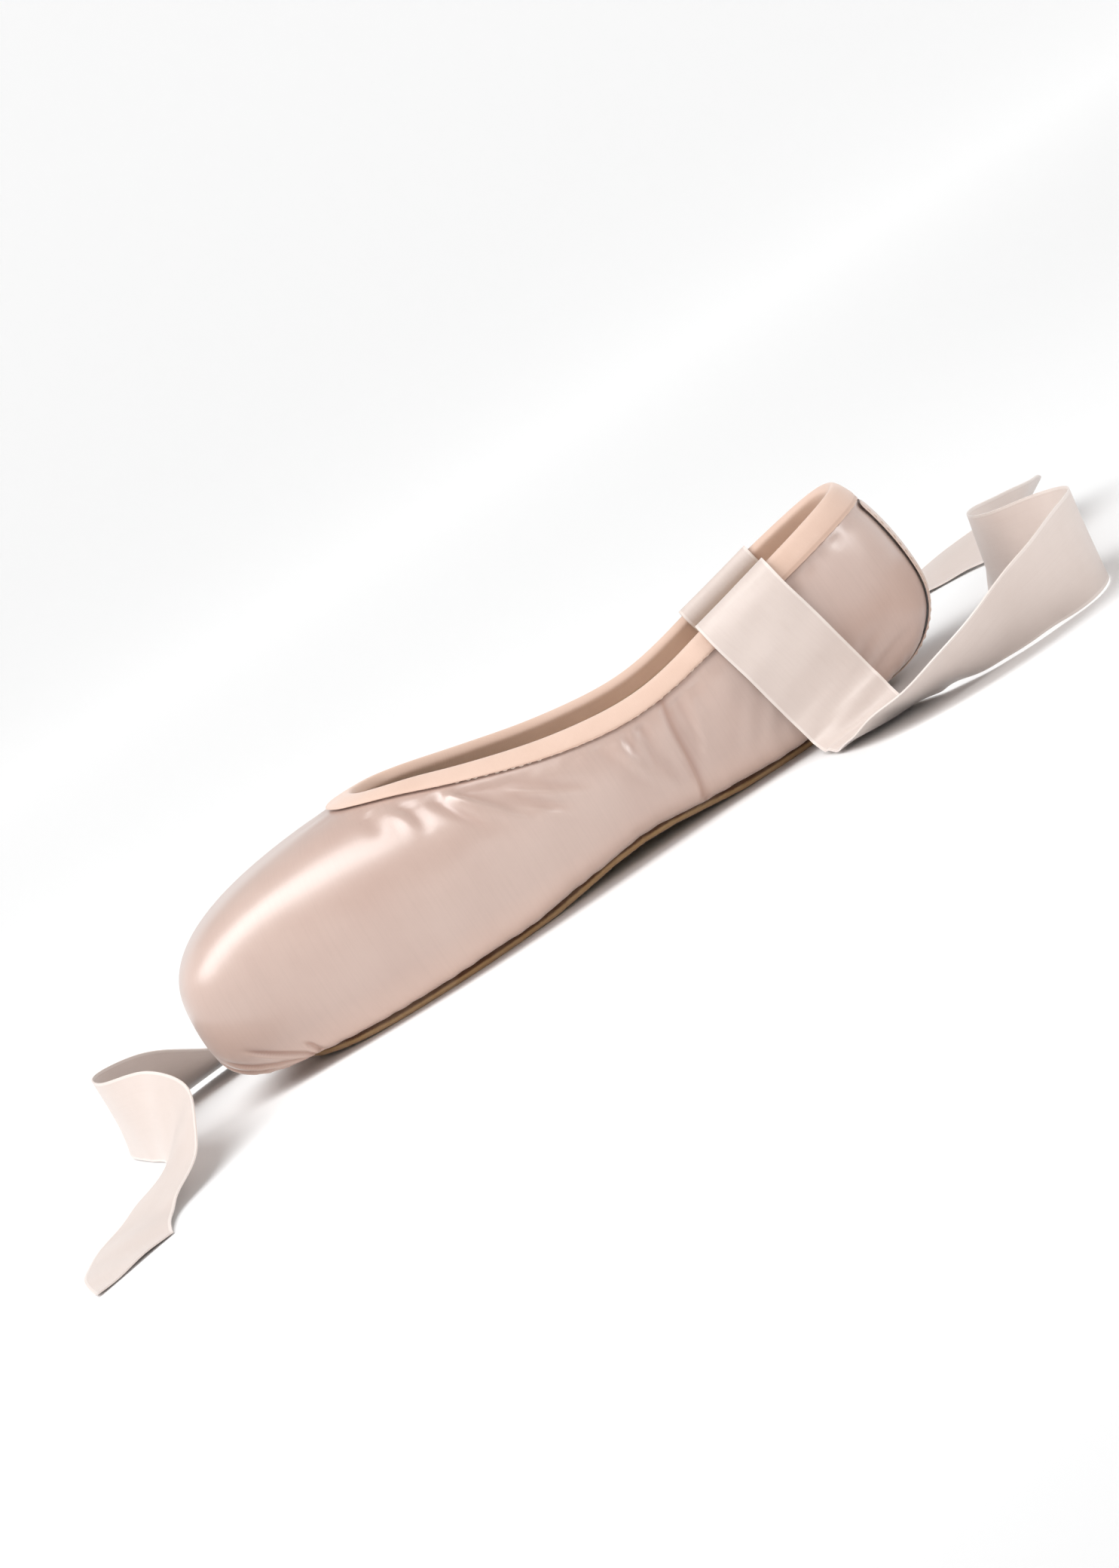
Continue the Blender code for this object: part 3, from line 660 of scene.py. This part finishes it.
def edge_loop(mesh, lowest):
    """The edge between the satin and the wall's rim above a height, in order, from the throat on."""
    beside = {}
    edges = {}
    for face in mesh.polygons:
        for key in face.edge_keys:
            edges.setdefault(key, set()).add(face.material_index)
    for (a, b), sides in edges.items():
        if len(sides) == 2 and min(mesh.vertices[a].co.z, mesh.vertices[b].co.z) > lowest:
            beside.setdefault(a, []).append(b)
            beside.setdefault(b, []).append(a)
    first = max(beside, key=lambda v: mesh.vertices[v].co.x)
    loop = [first, max(beside[first], key=lambda v: mesh.vertices[v].co.y)]
    while loop[-1] != first:
        loop.append(next(v for v in beside[loop[-1]] if v != loop[-2]))
    return np.array([mesh.vertices[v].co for v in loop])


collar_line = edge_loop(upper.data, CORE_HEIGHT)
places, normals = read_points(upper.data)
outside = np.zeros(len(places), bool)
outside[[v for face in outer_skin for v in face]] = True
below_collar, along_collar, _, _ = nearest_on_line(places, collar_line[::3])

# Distance round the shoe from the toe, the same on both sides, and height plus the way in from the outline.
plan = np.array([on_skin(1, share, 0) for share in np.linspace(1, 0, 80)]) * (1, 1, 0)
halved = places * (1, 0, 0) + np.abs(places) * (0, 1, 0)
inward, round_shoe, _, _ = nearest_on_line(halved, plan)
add_cloth_map(upper.data, np.stack([round_shoe, places[:, 2] + inward], axis=1))

# Folds placed one by one. Each has its side, its places of (around, rise), its depth and width in
# millimetres, and the side that its ridge stands on.
Fold = namedtuple("Fold", "side points depth width lean")
LEFT, RIGHT = 1, -1
FOLDS = (
    # Short folds that fan down and back from the binding beside the throat
    Fold(LEFT, ((0.600, 47), (0.565, 30), (0.515, 8)), 1.5, 1.8, 1),
    Fold(LEFT, ((0.575, 41), (0.540, 25), (0.480, 2)), 1.25, 1.6, 1),
    Fold(LEFT, ((0.622, 50), (0.602, 32), (0.575, 14)), 0.95, 1.6, -1),
    Fold(LEFT, ((0.552, 36), (0.505, 22), (0.450, 8)), 0.95, 1.5, 1),
    Fold(LEFT, ((0.665, 57), (0.648, 44), (0.640, 28)), 0.7, 1.9, 1),
    Fold(LEFT, ((0.705, 66), (0.692, 52), (0.690, 38)), 0.45, 2.0, -1),
    # Soft folds on both sides of the side seam
    Fold(LEFT, ((0.373, 30), (0.378, 8), (0.366, -22)), 1.2, 1.4, 1),
    Fold(LEFT, ((0.398, 28), (0.390, 5), (0.374, -20)), 0.8, 1.5, 1),
    Fold(LEFT, ((0.318, 30), (0.326, 8), (0.345, -20)), 0.9, 1.7, -1),
    Fold(LEFT, ((0.430, 26), (0.415, 6), (0.395, -14)), 0.5, 2.0, -1),
    # Faint drags across the quarter, up towards the heel
    Fold(LEFT, ((0.315, -26), (0.275, -2), (0.235, 20)), 0.25, 2.2, 1),
    Fold(LEFT, ((0.285, -27), (0.245, -3), (0.205, 20)), 0.3, 2.4, 1),
    Fold(LEFT, ((0.255, -28), (0.215, -4), (0.175, 21)), 0.22, 2.2, 1),
    Fold(LEFT, ((0.225, -28), (0.185, -5), (0.145, 20)), 0.3, 2.4, 1),
    # Folds that fan out above the rear end of the sole
    Fold(LEFT, ((0.168, -29), (0.125, -14), (0.078, -2)), 0.45, 1.6, 1),
    Fold(LEFT, ((0.150, -33), (0.100, -23), (0.052, -14)), 0.45, 1.5, -1),
    Fold(LEFT, ((0.180, -23), (0.145, -8), (0.105, 7)), 0.3, 1.8, 1),
    # Deep diagonal folds on the other side, from beside the throat to the waist
    Fold(RIGHT, ((0.600, 47), (0.520, 27), (0.430, 4), (0.385, -14)), 1.2, 2.2, 1),
    Fold(RIGHT, ((0.568, 39), (0.490, 17), (0.410, -4), (0.372, -20)), 0.9, 2.0, 1),
    Fold(RIGHT, ((0.632, 51), (0.570, 30), (0.500, 8), (0.440, -8)), 0.6, 2.3, -1),
    Fold(RIGHT, ((0.372, 28), (0.372, 5), (0.362, -22)), 0.7, 1.6, 1),
    Fold(RIGHT, ((0.350, -26), (0.310, -6), (0.262, 12)), 0.5, 2.2, 1),
    Fold(RIGHT, ((0.325, -27), (0.280, -10), (0.225, 4)), 0.4, 2.2, -1),
    Fold(RIGHT, ((0.172, -29), (0.130, -12), (0.085, 2)), 0.7, 1.7, 1),
    Fold(RIGHT, ((0.158, -32), (0.108, -22), (0.060, -10)), 0.6, 1.6, 1),
    Fold(RIGHT, ((0.190, -24), (0.160, -6), (0.120, 12)), 0.4, 2.0, -1),
)
# Toe pleats: fine tucks that start at the tip of the sole and sweep forward round the toe's lower rim.
TOE_TUCKS = (
    ((0.893, -40), (0.925, -34), (0.960, -24), (0.985, -12), (0.999, 0)),
    ((0.891, -38), (0.915, -31), (0.943, -21), (0.968, -8)),
    ((0.888, -36), (0.903, -28), (0.922, -18), (0.940, -7)),
    ((0.899, -45), (0.935, -43), (0.970, -38), (0.999, -33)),
    ((0.882, -34), (0.888, -27), (0.897, -20)),
)
PLEAT_HEADINGS = (0.998, 0.984, 0.970, 0.955, 0.940, 0.925, 0.911)
TUCK_SIZE = (0.7 * MM, 0.75 * MM)
PLEAT_SIZE = (0.4 * MM, 0.9 * MM)
SEAM_FOLD_SIZE = (0.5 * MM, 1.1 * MM)
DEEPEST_FOLD = 1.1 * MM
# The skin lies flat under the binding, and its folds start between these depths below the collar.
BELOW_BINDING = (6.4 * MM, 8.2 * MM)
GATHER_HEIGHT = 0.09 * MM
PULL_HEIGHT = 0.13 * MM
# The quarters swell softly, less and less between these places, where the stiff box begins.
SWELL_HEIGHT = 0.22 * MM
BOX_REAR = (20 * MM, 60 * MM)


def fold_lift(line, depth, width, lean, fade=(0.25, 0.45)):
    """How far a fold lifts each point of the skin: a trough along its line with a ridge on one side."""
    near = np.linalg.norm(places - line.mean(axis=0), axis=1) < np.ptp(line, axis=0).max() + 6 * width
    near &= outside
    gap, along, offset, heading = nearest_on_line(places[near], line)
    which_side = np.sign(np.sum(np.cross(heading, normals[near]) * offset, axis=1)) * lean
    across = gap / width * which_side
    trough = np.where(across > 0, np.exp(-(across / 0.7) ** 2), np.exp(-(across / 1.3) ** 2))
    ridge = 0.55 * np.exp(-((across - 1.5) / 0.75) ** 2)
    length = lengths_along(line)[-1]
    ends = smooth_step(along / length, 0, fade[0]) * (1 - smooth_step(along / length, 1 - fade[1], 1))
    beyond = (along <= 0) | (along >= length)
    lift = np.zeros(len(places))
    lift[near] = (ridge - trough) * depth * ends * ~beyond
    return lift


folds = np.zeros(len(places))
for fold in FOLDS:
    folds += fold_lift(skin_line(fold.side, fold.points), fold.depth * MM, fold.width * MM, fold.lean)
lift = np.zeros(len(places))
for side in (LEFT, RIGHT):
    seam = skin_line(side, ((SEAM_AROUND[0], 40), (0.345, 8), (SEAM_AROUND[1], -34)))
    lift += fold_lift(seam, *SEAM_FOLD_SIZE, 1, fade=(0.02, 0.02))
    for tuck in TOE_TUCKS:
        lift += fold_lift(skin_line(side, tuck, 16), *TUCK_SIZE, -side, fade=(0.05, 0.4))
    for around in PLEAT_HEADINGS:
        pleat = skin_line(side, ((around, -72), (around, -55), (around, -40)), 8)
        lift += fold_lift(pleat, *PLEAT_SIZE, side, fade=(0.1, 0.5))

# Painted shade: how deep each point lies in a fold, which darkens the satin's colour there.
shaded = np.clip(-lift / (0.45 * MM), 0, 1) + 0.3 * np.clip(-folds / (0.7 * MM), 0, 1)
lift += folds

# Gathers where the satin is caught under the binding and pulled over the edge of the sole.
gather = np.sin(along_collar / 0.0058 * 2 * pi) + 0.8 * np.sin(along_collar / 0.0087 * 2 * pi + 1)
lift -= GATHER_HEIGHT * (1.6 + gather) * np.exp(-((below_collar - 7.6 * MM) / (2.4 * MM)) ** 2)
pull = np.sin(round_shoe / 0.0063 * 2 * pi) * np.sin(round_shoe / 0.041 * 2 * pi + 0.7)
lift += PULL_HEIGHT * pull * np.exp(-((places[:, 2] - 5 * MM) / (4.5 * MM)) ** 2)
soft = 1 - smooth_step(places[:, 0], *BOX_REAR)
swell = np.sin(round_shoe / 0.027 * 2 * pi + 1.3) * np.sin(places[:, 2] / 0.031 * 2 * pi + 0.5)
lift += SWELL_HEIGHT * soft * swell

# No fold reaches through the wall to the lining.
sunk = np.maximum(-lift, 0)
lift += sunk - DEEPEST_FOLD * np.tanh(sunk / DEEPEST_FOLD)
lift *= smooth_step(below_collar, *BELOW_BINDING)
strip_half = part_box("back_strip")[1].y
at_strip = (places[:, 0] < HEEL + 0.04) & (np.abs(places[:, 1]) < strip_half + 1 * MM)
lift[at_strip] = np.minimum(lift[at_strip], 0)
lift[~outside] = 0
move_points(upper.data, places + normals * lift[:, None])
# The painted fold shade goes to the satin as a point attribute.
fold_shade_and_dullness = upper.data.attributes.new("fold_shade_and_dullness", "FLOAT", "POINT")
fold_shade_and_dullness.data.foreach_set("value", np.where(outside, np.clip(shaded, 0, 1), 0))

# Collar binding. A matt tape folded over the edge of the collar and sewn down through all layers by one row
# of small stitches near its lower edge, where it puckers a little.
BINDING_SEAM = 5.7 * MM
BINDING_STITCH = (1.7 * MM, 0.36 * MM)
STITCH_PITCH = 2.4 * MM
GROOVE_DEPTH = 0.2 * MM
PUCKER_PITCH = 3.6 * MM
PUCKER_HEIGHT = 0.07 * MM

tape_cotton, tree, shader = start_material(
    "binding tape", Roughness=0.62, Sheen_Weight=0.45, Sheen_Roughness=0.5, Specular_IOR_Level=0.4,
)
cloth = add_node(tree, "UVMap", uv_map="cloth").outputs[0]
objects = add_node(tree, "TexCoord").outputs["Object"]
ribs = use_group(tree, threads, {"Vector": cloth, "Across": 5200.0, "Along": 700.0})
patchy = use_group(tree, clouds, {"Vector": objects, "Scale": 45.0, "Contrast": 0.25})
tone = mix_colours(tree, patchy.outputs[0], (0.67, 0.47, 0.37), (0.75, 0.55, 0.45))
tone = tint(tree, tone, ribs.outputs["Height"], 0.25, (0.58, 0.38, 0.29))
down = add_node(tree, "SeparateXYZ", {0: cloth}).outputs[1]
from_row = distance_from(tree, down, BINDING_SEAM)
row_mask = add_node(tree, "MapRange", {0: from_row, 1: 0.6 * MM, 2: 0.2 * MM, 4: 0.45}).outputs[0]
tone = mix_colours(tree, row_mask, tone, (0.47, 0.29, 0.21))
# Painted highlight: the tape is paler along its folded top edge.
fold_edge_highlight = add_node(tree, "MapRange", {0: down, 1: 1.5 * MM, 2: 0.4 * MM, 4: 0.5}).outputs[0]
tone = mix_colours(tree, fold_edge_highlight, tone, (0.84, 0.66, 0.54))
finish_shader(tree, shader, tone, ribs.outputs["Height"], 0.5, 0.00008)

binding = dress_copy("collar_binding", "binding_tape", tape_cotton)
finish_with(binding, "SUBSURF", levels=2, render_levels=2)
places, normals = read_points(binding.data)
below, along, _, _ = nearest_on_line(places, collar_line[::2])
groove = np.exp(-((below - BINDING_SEAM) / (0.45 * MM)) ** 2)
pucker = np.sin(along / PUCKER_PITCH * 2 * pi) * np.exp(-((below - 6.2 * MM) / (1.6 * MM)) ** 2)
move_points(binding.data, places - normals * (GROOVE_DEPTH * groove - PUCKER_HEIGHT * pucker)[:, None])
add_cloth_map(binding.data, np.stack([along, below], axis=1))
binding.data.shade_smooth()

# The row of stitches lies on the tape, outside and inside, at one depth below the collar.
def surface_of(piece):
    """A piece's faces, ready to be met by lines or searched for the nearest point."""
    mesh = piece.data
    return BVHTree.FromPolygons([v.co for v in mesh.vertices], [f.vertices for f in mesh.polygons])


binding_surface = surface_of(binding)
core = places * (1, 0, 0)
core[:, 0] = np.clip(core[:, 0], HEEL + 25 * MM, 25 * MM)
core[:, 2] = CORE_HEIGHT
faces_out = np.sum(normals * (places - core), axis=1) > 0
marks = np.arange(STITCH_PITCH / 2, lengths_along(collar_line)[-1], STITCH_PITCH)
for face_name, on_face in (("outer", faces_out), ("inner", ~faces_out)):
    spots, outward = [], []
    for mark in marks:
        aside, off_row = (along - mark) / (0.7 * MM), (below - BINDING_SEAM) / (0.35 * MM)
        weight = np.exp(-aside ** 2 - off_row ** 2) * on_face
        if weight.sum() > 0.01:
            spot, up, _, _ = binding_surface.find_nearest(Vector(weight @ places / weight.sum()))
            spots.append(spot)
            outward.append(up)
    spots = np.array(spots)
    sew(f"{face_name}_stitches_of_binding", "binding_satin", *BINDING_STITCH,
        spots, np.gradient(spots, axis=0), outward)

# Back strip. A satin tape that covers the back seam from the binding down and under the heel, sewn along both
# edges.
STRIP_SEAM = 6.6 * MM
STRIP_STITCH = (1.7 * MM, 0.34 * MM)
STRIP_GROOVE = 0.1 * MM

strip_satin, tree, shader, tone, objects = satin_cloth(
    "back strip satin", (0.72, 0.56, 0.48), (0.66, 0.50, 0.42), Anisotropic=0.4, Sheen_Weight=0.3,
    Sheen_Roughness=0.4, Specular_IOR_Level=0.8, Coat_Weight=0.2, Coat_Roughness=0.29,
)
aside = math_node(tree, "ABSOLUTE", add_node(tree, "SeparateXYZ", {0: objects}).outputs[1])
from_row = distance_from(tree, aside, STRIP_SEAM)
row_mask = add_node(tree, "MapRange", {0: from_row, 1: 0.5 * MM, 2: 0.15 * MM, 4: 0.45}).outputs[0]
tree.links.new(mix_colours(tree, row_mask, tone, (0.45, 0.29, 0.22)), shader.inputs["Base Color"])

strip = dress_copy("back_strip", "heel_tape", strip_satin)
finish_with(strip, "SUBSURF", levels=2, render_levels=2)
places, normals = read_points(strip.data)
groove = np.exp(-((np.abs(places[:, 1]) - STRIP_SEAM) / (0.4 * MM)) ** 2)
move_points(strip.data, places - normals * (STRIP_GROOVE * groove)[:, None])
add_cloth_map(strip.data, np.stack([places[:, 1], places[:, 2] - places[:, 0]], axis=1))
strip.data.shade_smooth()

strip_surface = surface_of(strip)
for name, side in (("left", 1), ("right", -1)):
    met = [strip_surface.ray_cast(Vector((-0.2, side * STRIP_SEAM, height)), Vector((1, 0, 0)))
           for height in np.arange(4 * MM, 45 * MM, 0.5 * MM)]
    seam = np.array([place for place, _, _, _ in met if place])
    spots, ways = even_points(seam, STITCH_PITCH)
    outward = [strip_surface.find_nearest(Vector(spot))[1] for spot in spots]
    sew(f"{name}_stitches_of_heel_tape", "satin", *STRIP_STITCH, spots, ways, outward)

# Outsole. One piece of tan leather, suede side down, skived at its edge, scored with crossed cuts under the
# forefoot for grip and sewn on by a row of pale stitches sunk in a shallow channel inside its edge.
LEATHER_GRAIN = 0.46 * MM
CHANNEL_INSET = 2.2 * MM
CHANNEL_DEPTH = 0.45 * MM
SOLE_STITCH = (2.3 * MM, 0.5 * MM)
SOLE_STITCH_PITCH = 3.1 * MM
STITCH_SUNK = 0.52 * MM
SCORING_PITCH = 2.5 * MM
SCORING_ANGLE = radians(30)
SCORING_DEPTH = 0.28 * MM
SCORING_REAR = -45 * MM
SCORING_MARGIN = 3.6 * MM

# The edge is darker along its top, where it meets the satin, and tan below.
sole_leather, tree, shader = start_material(
    "sole leather", Roughness=0.8, Specular_IOR_Level=0.35, Sheen_Weight=0.2,
)
objects = add_node(tree, "TexCoord").outputs["Object"]
patchy = use_group(tree, clouds, {"Vector": objects, "Scale": 42.0, "Contrast": 0.3})
tone = mix_colours(tree, patchy.outputs[0], (0.50, 0.30, 0.14), (0.63, 0.41, 0.21))
nap = add_node(tree, "TexNoise", {"Vector": objects, "Scale": 1500.0, "Detail": 4.0, "Roughness": 0.7})
tone = tint(tree, tone, nap.outputs[0], 0.5, (0.42, 0.24, 0.10))
place = add_node(tree, "SeparateXYZ", {0: objects})
cuts = None
for turn in (SCORING_ANGLE, -SCORING_ANGLE):
    crosswise = math_node(tree, "MULTIPLY", place.outputs[1], cos(turn) / SCORING_PITCH)
    crosswise = math_node(tree, "MULTIPLY_ADD", place.outputs[0], -sin(turn) / SCORING_PITCH, crosswise)
    from_cut = distance_from(tree, math_node(tree, "FRACT", crosswise), 0.5)
    cut = add_node(tree, "MapRange", {0: from_cut, 1: 0.16, 2: 0.06}).outputs[0]
    cuts = cut if cuts is None else math_node(tree, "MAXIMUM", cuts, cut)
scored = add_node(tree, "Attribute", attribute_name="scored").outputs["Fac"]
cuts = math_node(tree, "MULTIPLY", cuts, scored)
# Painted shade: the scored cuts are darker.
tone = tint(tree, tone, cuts, 0.6, (0.27, 0.14, 0.06))
# Painted shade: the sunk stitch channel is darker.
channel = add_node(tree, "Attribute", attribute_name="channel").outputs["Fac"]
tone = tint(tree, tone, channel, 0.5, (0.34, 0.19, 0.09))
sole_edge_dark_top = add_node(tree, "Attribute", attribute_name="sole_edge_dark_top").outputs["Fac"]
tone = mix_colours(tree, sole_edge_dark_top, tone, (0.15, 0.065, 0.032))
scuffs = use_group(tree, clouds, {"Vector": objects, "Scale": 95.0, "Contrast": 0.1})
tone = tint(tree, tone, scuffs.outputs[0], 0.16, (0.72, 0.58, 0.42))
finish_shader(tree, shader, tone, math_node(tree, "MULTIPLY_ADD", cuts, -0.8, nap.outputs[0]), 0.6, 0.00025)

sole = dress_copy("outsole", "leather_outsole", sole_leather)
finish_with(sole, "REMESH", mode="VOXEL", voxel_size=LEATHER_GRAIN)
finish_with(sole, "SHRINKWRAP", target=frame["nodes"]["outsole"], wrap_method="NEAREST_SURFACEPOINT")
sole.data.materials.clear()
sole.data.materials.append(sole_leather)

# The outline and the underside's height come from the solid's own sections, which stand square to its length.
stations = {}
for corner in frame["nodes"]["outsole"].data.vertices:
    stations.setdefault(round(corner.co.x, 4), []).append(corner.co)
section_x = np.array(sorted(stations))
half_width = np.array([max(corner.y for corner in stations[x]) for x in section_x])
underside = np.array([min(corner.z for corner in stations[x]) for x in section_x])
edge = np.stack([section_x, half_width, 0 * section_x], axis=1)
outline = np.vstack([edge, edge[::-1] * (1, -1, 1), edge[:1]])

places, normals = read_points(sole.data)
inset, _, _, _ = nearest_on_line(places * (1, 1, 0), outline)
level = places[:, 2] - np.interp(places[:, 0], section_x, underside)
below_all = smooth_step(-normals[:, 2], 0.5, 0.9) * (1 - smooth_step(level, 0.4 * MM, 0.8 * MM))
in_field = below_all * smooth_step(inset, SCORING_MARGIN - 0.4 * MM, SCORING_MARGIN + 0.4 * MM)
in_field *= smooth_step(places[:, 0], SCORING_REAR - 1 * MM, SCORING_REAR + 1 * MM)
in_channel = below_all * np.exp(-((inset - CHANNEL_INSET) / (0.6 * MM)) ** 2)
cut_depth = np.zeros(len(places))
for turn in (SCORING_ANGLE, -SCORING_ANGLE):
    crosswise = (places[:, 1] * cos(turn) - places[:, 0] * sin(turn)) / SCORING_PITCH
    from_cut = np.abs(crosswise % 1 - 0.5) * SCORING_PITCH
    cut_depth = np.maximum(cut_depth, np.exp(-(from_cut / (0.4 * MM)) ** 2))
sunk = SCORING_DEPTH * cut_depth * in_field + CHANNEL_DEPTH * in_channel
sole_edge_dark_top_mask = smooth_step(level, 1.2 * MM, 1.6 * MM) * (1 - smooth_step(inset, 1.4 * MM, 1.8 * MM))
move_points(sole.data, places - normals * sunk[:, None])
for name, values in (("scored", in_field), ("channel", in_channel), ("sole_edge_dark_top", sole_edge_dark_top_mask)):
    kept = sole.data.attributes.new(name, "FLOAT", "POINT")
    kept.data.foreach_set("value", values)
sole.data.shade_smooth()

round_sole = even_points(outline, 0.5 * MM)[0]
across_edge = np.cross(unit(np.gradient(round_sole, axis=0)), (0, 0, 1))
across_edge *= np.sign(-across_edge[0, 1] * round_sole[0, 1])
channel_line = round_sole + across_edge * CHANNEL_INSET
apart = nearest_on_line(channel_line, outline)[0]
channel_line = channel_line[apart > 0.9 * CHANNEL_INSET]
spots, ways = even_points(channel_line, SOLE_STITCH_PITCH)
spots[:, 2] = np.interp(spots[:, 0], section_x, underside) + STITCH_SUNK
sew("stitches_of_outsole", "sole_leather", *SOLE_STITCH, spots, ways, [(0, 0, -1)] * len(spots))

# Insole. A thin sock of plain cotton over the board that the foot stands on.
sock_cotton = cotton_cloth("sock cotton", (0.86, 0.76, 0.66), (0.78, 0.67, 0.56), 0.55 * MM, False)
insole = dress_copy("insole", "cotton_insole", sock_cotton)
select_only(insole)
bpy.ops.object.mode_set(mode="EDIT")
bpy.ops.mesh.select_mode(type="EDGE")
bpy.ops.mesh.select_all(action="DESELECT")
bpy.ops.mesh.edges_select_sharp(sharpness=radians(40))
bpy.ops.transform.edge_crease(value=0.7)
bpy.ops.object.mode_set(mode="OBJECT")
finish_with(insole, "SUBSURF", levels=2, render_levels=2)
insole.data.shade_smooth()

# Studio. A pale floor that curves up all round, far behind the camera, and glows faintly far off and behind
# the shoe. A long softbox hangs above the shoe's left side, and weaker ones stand by its heel and in front.
FLOOR_FLAT = 2.2
FLOOR_CURVE = 1.8
FLOOR_RISE = 1.5
KEY_PLACE = Vector((0.50, 0.19, 0.88))
KEY_SIZE = (1.3, 0.5)
KEY_POWER = 11.2
FILL_PLACE = towards_camera * 1.2 + picture_right * 0.6 + Vector((0, 0, 0.3))
FILL_POWER = 0.8
HEEL_LIGHT_PLACE = Vector((-0.85, 0.38, 0.42))
HEEL_LIGHT_POWER = 2.0
SKY = 0.37
WALL_GLOW = 0.42

bpy.ops.mesh.primitive_grid_add(x_subdivisions=60, y_subdivisions=60, size=8)
floor = bpy.context.object
places, _ = read_points(floor.data)
beyond = np.clip((np.linalg.norm(places[:, :2], axis=1) - FLOOR_FLAT) / FLOOR_CURVE, 0, None)
places[:, 2] += FLOOR_RISE * beyond**2
move_points(floor.data, places)
floor.data.shade_smooth()
floor_paint, tree, shader = start_material(
    "floor paint", Roughness=0.9, Base_Color=(0.9, 0.9, 0.9, 1), Emission_Strength=WALL_GLOW,
)
objects = add_node(tree, "TexCoord").outputs["Object"]
reach = add_node(tree, "VectorMath", {0: objects}, operation="LENGTH").outputs["Value"]
far = add_node(tree, "MapRange", {0: reach, 1: 0.5, 2: 2.4}).outputs[0]
behind = add_node(tree, "SeparateXYZ", {0: objects}).outputs[1]
behind = add_node(tree, "MapRange", {0: behind, 1: -0.1, 2: -1.2}).outputs[0]
glow = math_node(tree, "MAXIMUM", far, behind)
tree.links.new(mix_colours(tree, glow, (0, 0, 0), (1, 1, 1)), shader.inputs["Emission Color"])
floor.data.materials.append(floor_paint)


def add_softbox(name, place, size, energy):
    """A light at a place, turned to face the shoe, long along the shoe."""
    data = bpy.data.lights.new(name, "AREA")
    data.shape = "RECTANGLE"
    data.energy, data.size, data.size_y = energy, *size
    light = bpy.data.objects.new(name, data)
    bpy.context.scene.collection.objects.link(light)
    facing = place.normalized()
    level = (Vector((1, 0, 0)) - facing * facing.x).normalized()
    turn = Matrix((level, facing.cross(level), facing)).transposed().to_4x4()
    light.matrix_world = Matrix.Translation(place) @ turn


add_softbox("key", KEY_PLACE, KEY_SIZE, KEY_POWER)
add_softbox("heel light", HEEL_LIGHT_PLACE, (0.3, 0.3), HEEL_LIGHT_POWER)
add_softbox("fill", FILL_PLACE, (0.9, 0.9), FILL_POWER)
world = bpy.data.worlds.new("studio")
world.use_nodes = True
world.node_tree.nodes["Background"].inputs[0].default_value = (1, 1, 1, 1)
world.node_tree.nodes["Background"].inputs[1].default_value = SKY
bpy.context.scene.world = world
bpy.context.scene.view_settings.view_transform = "Standard"
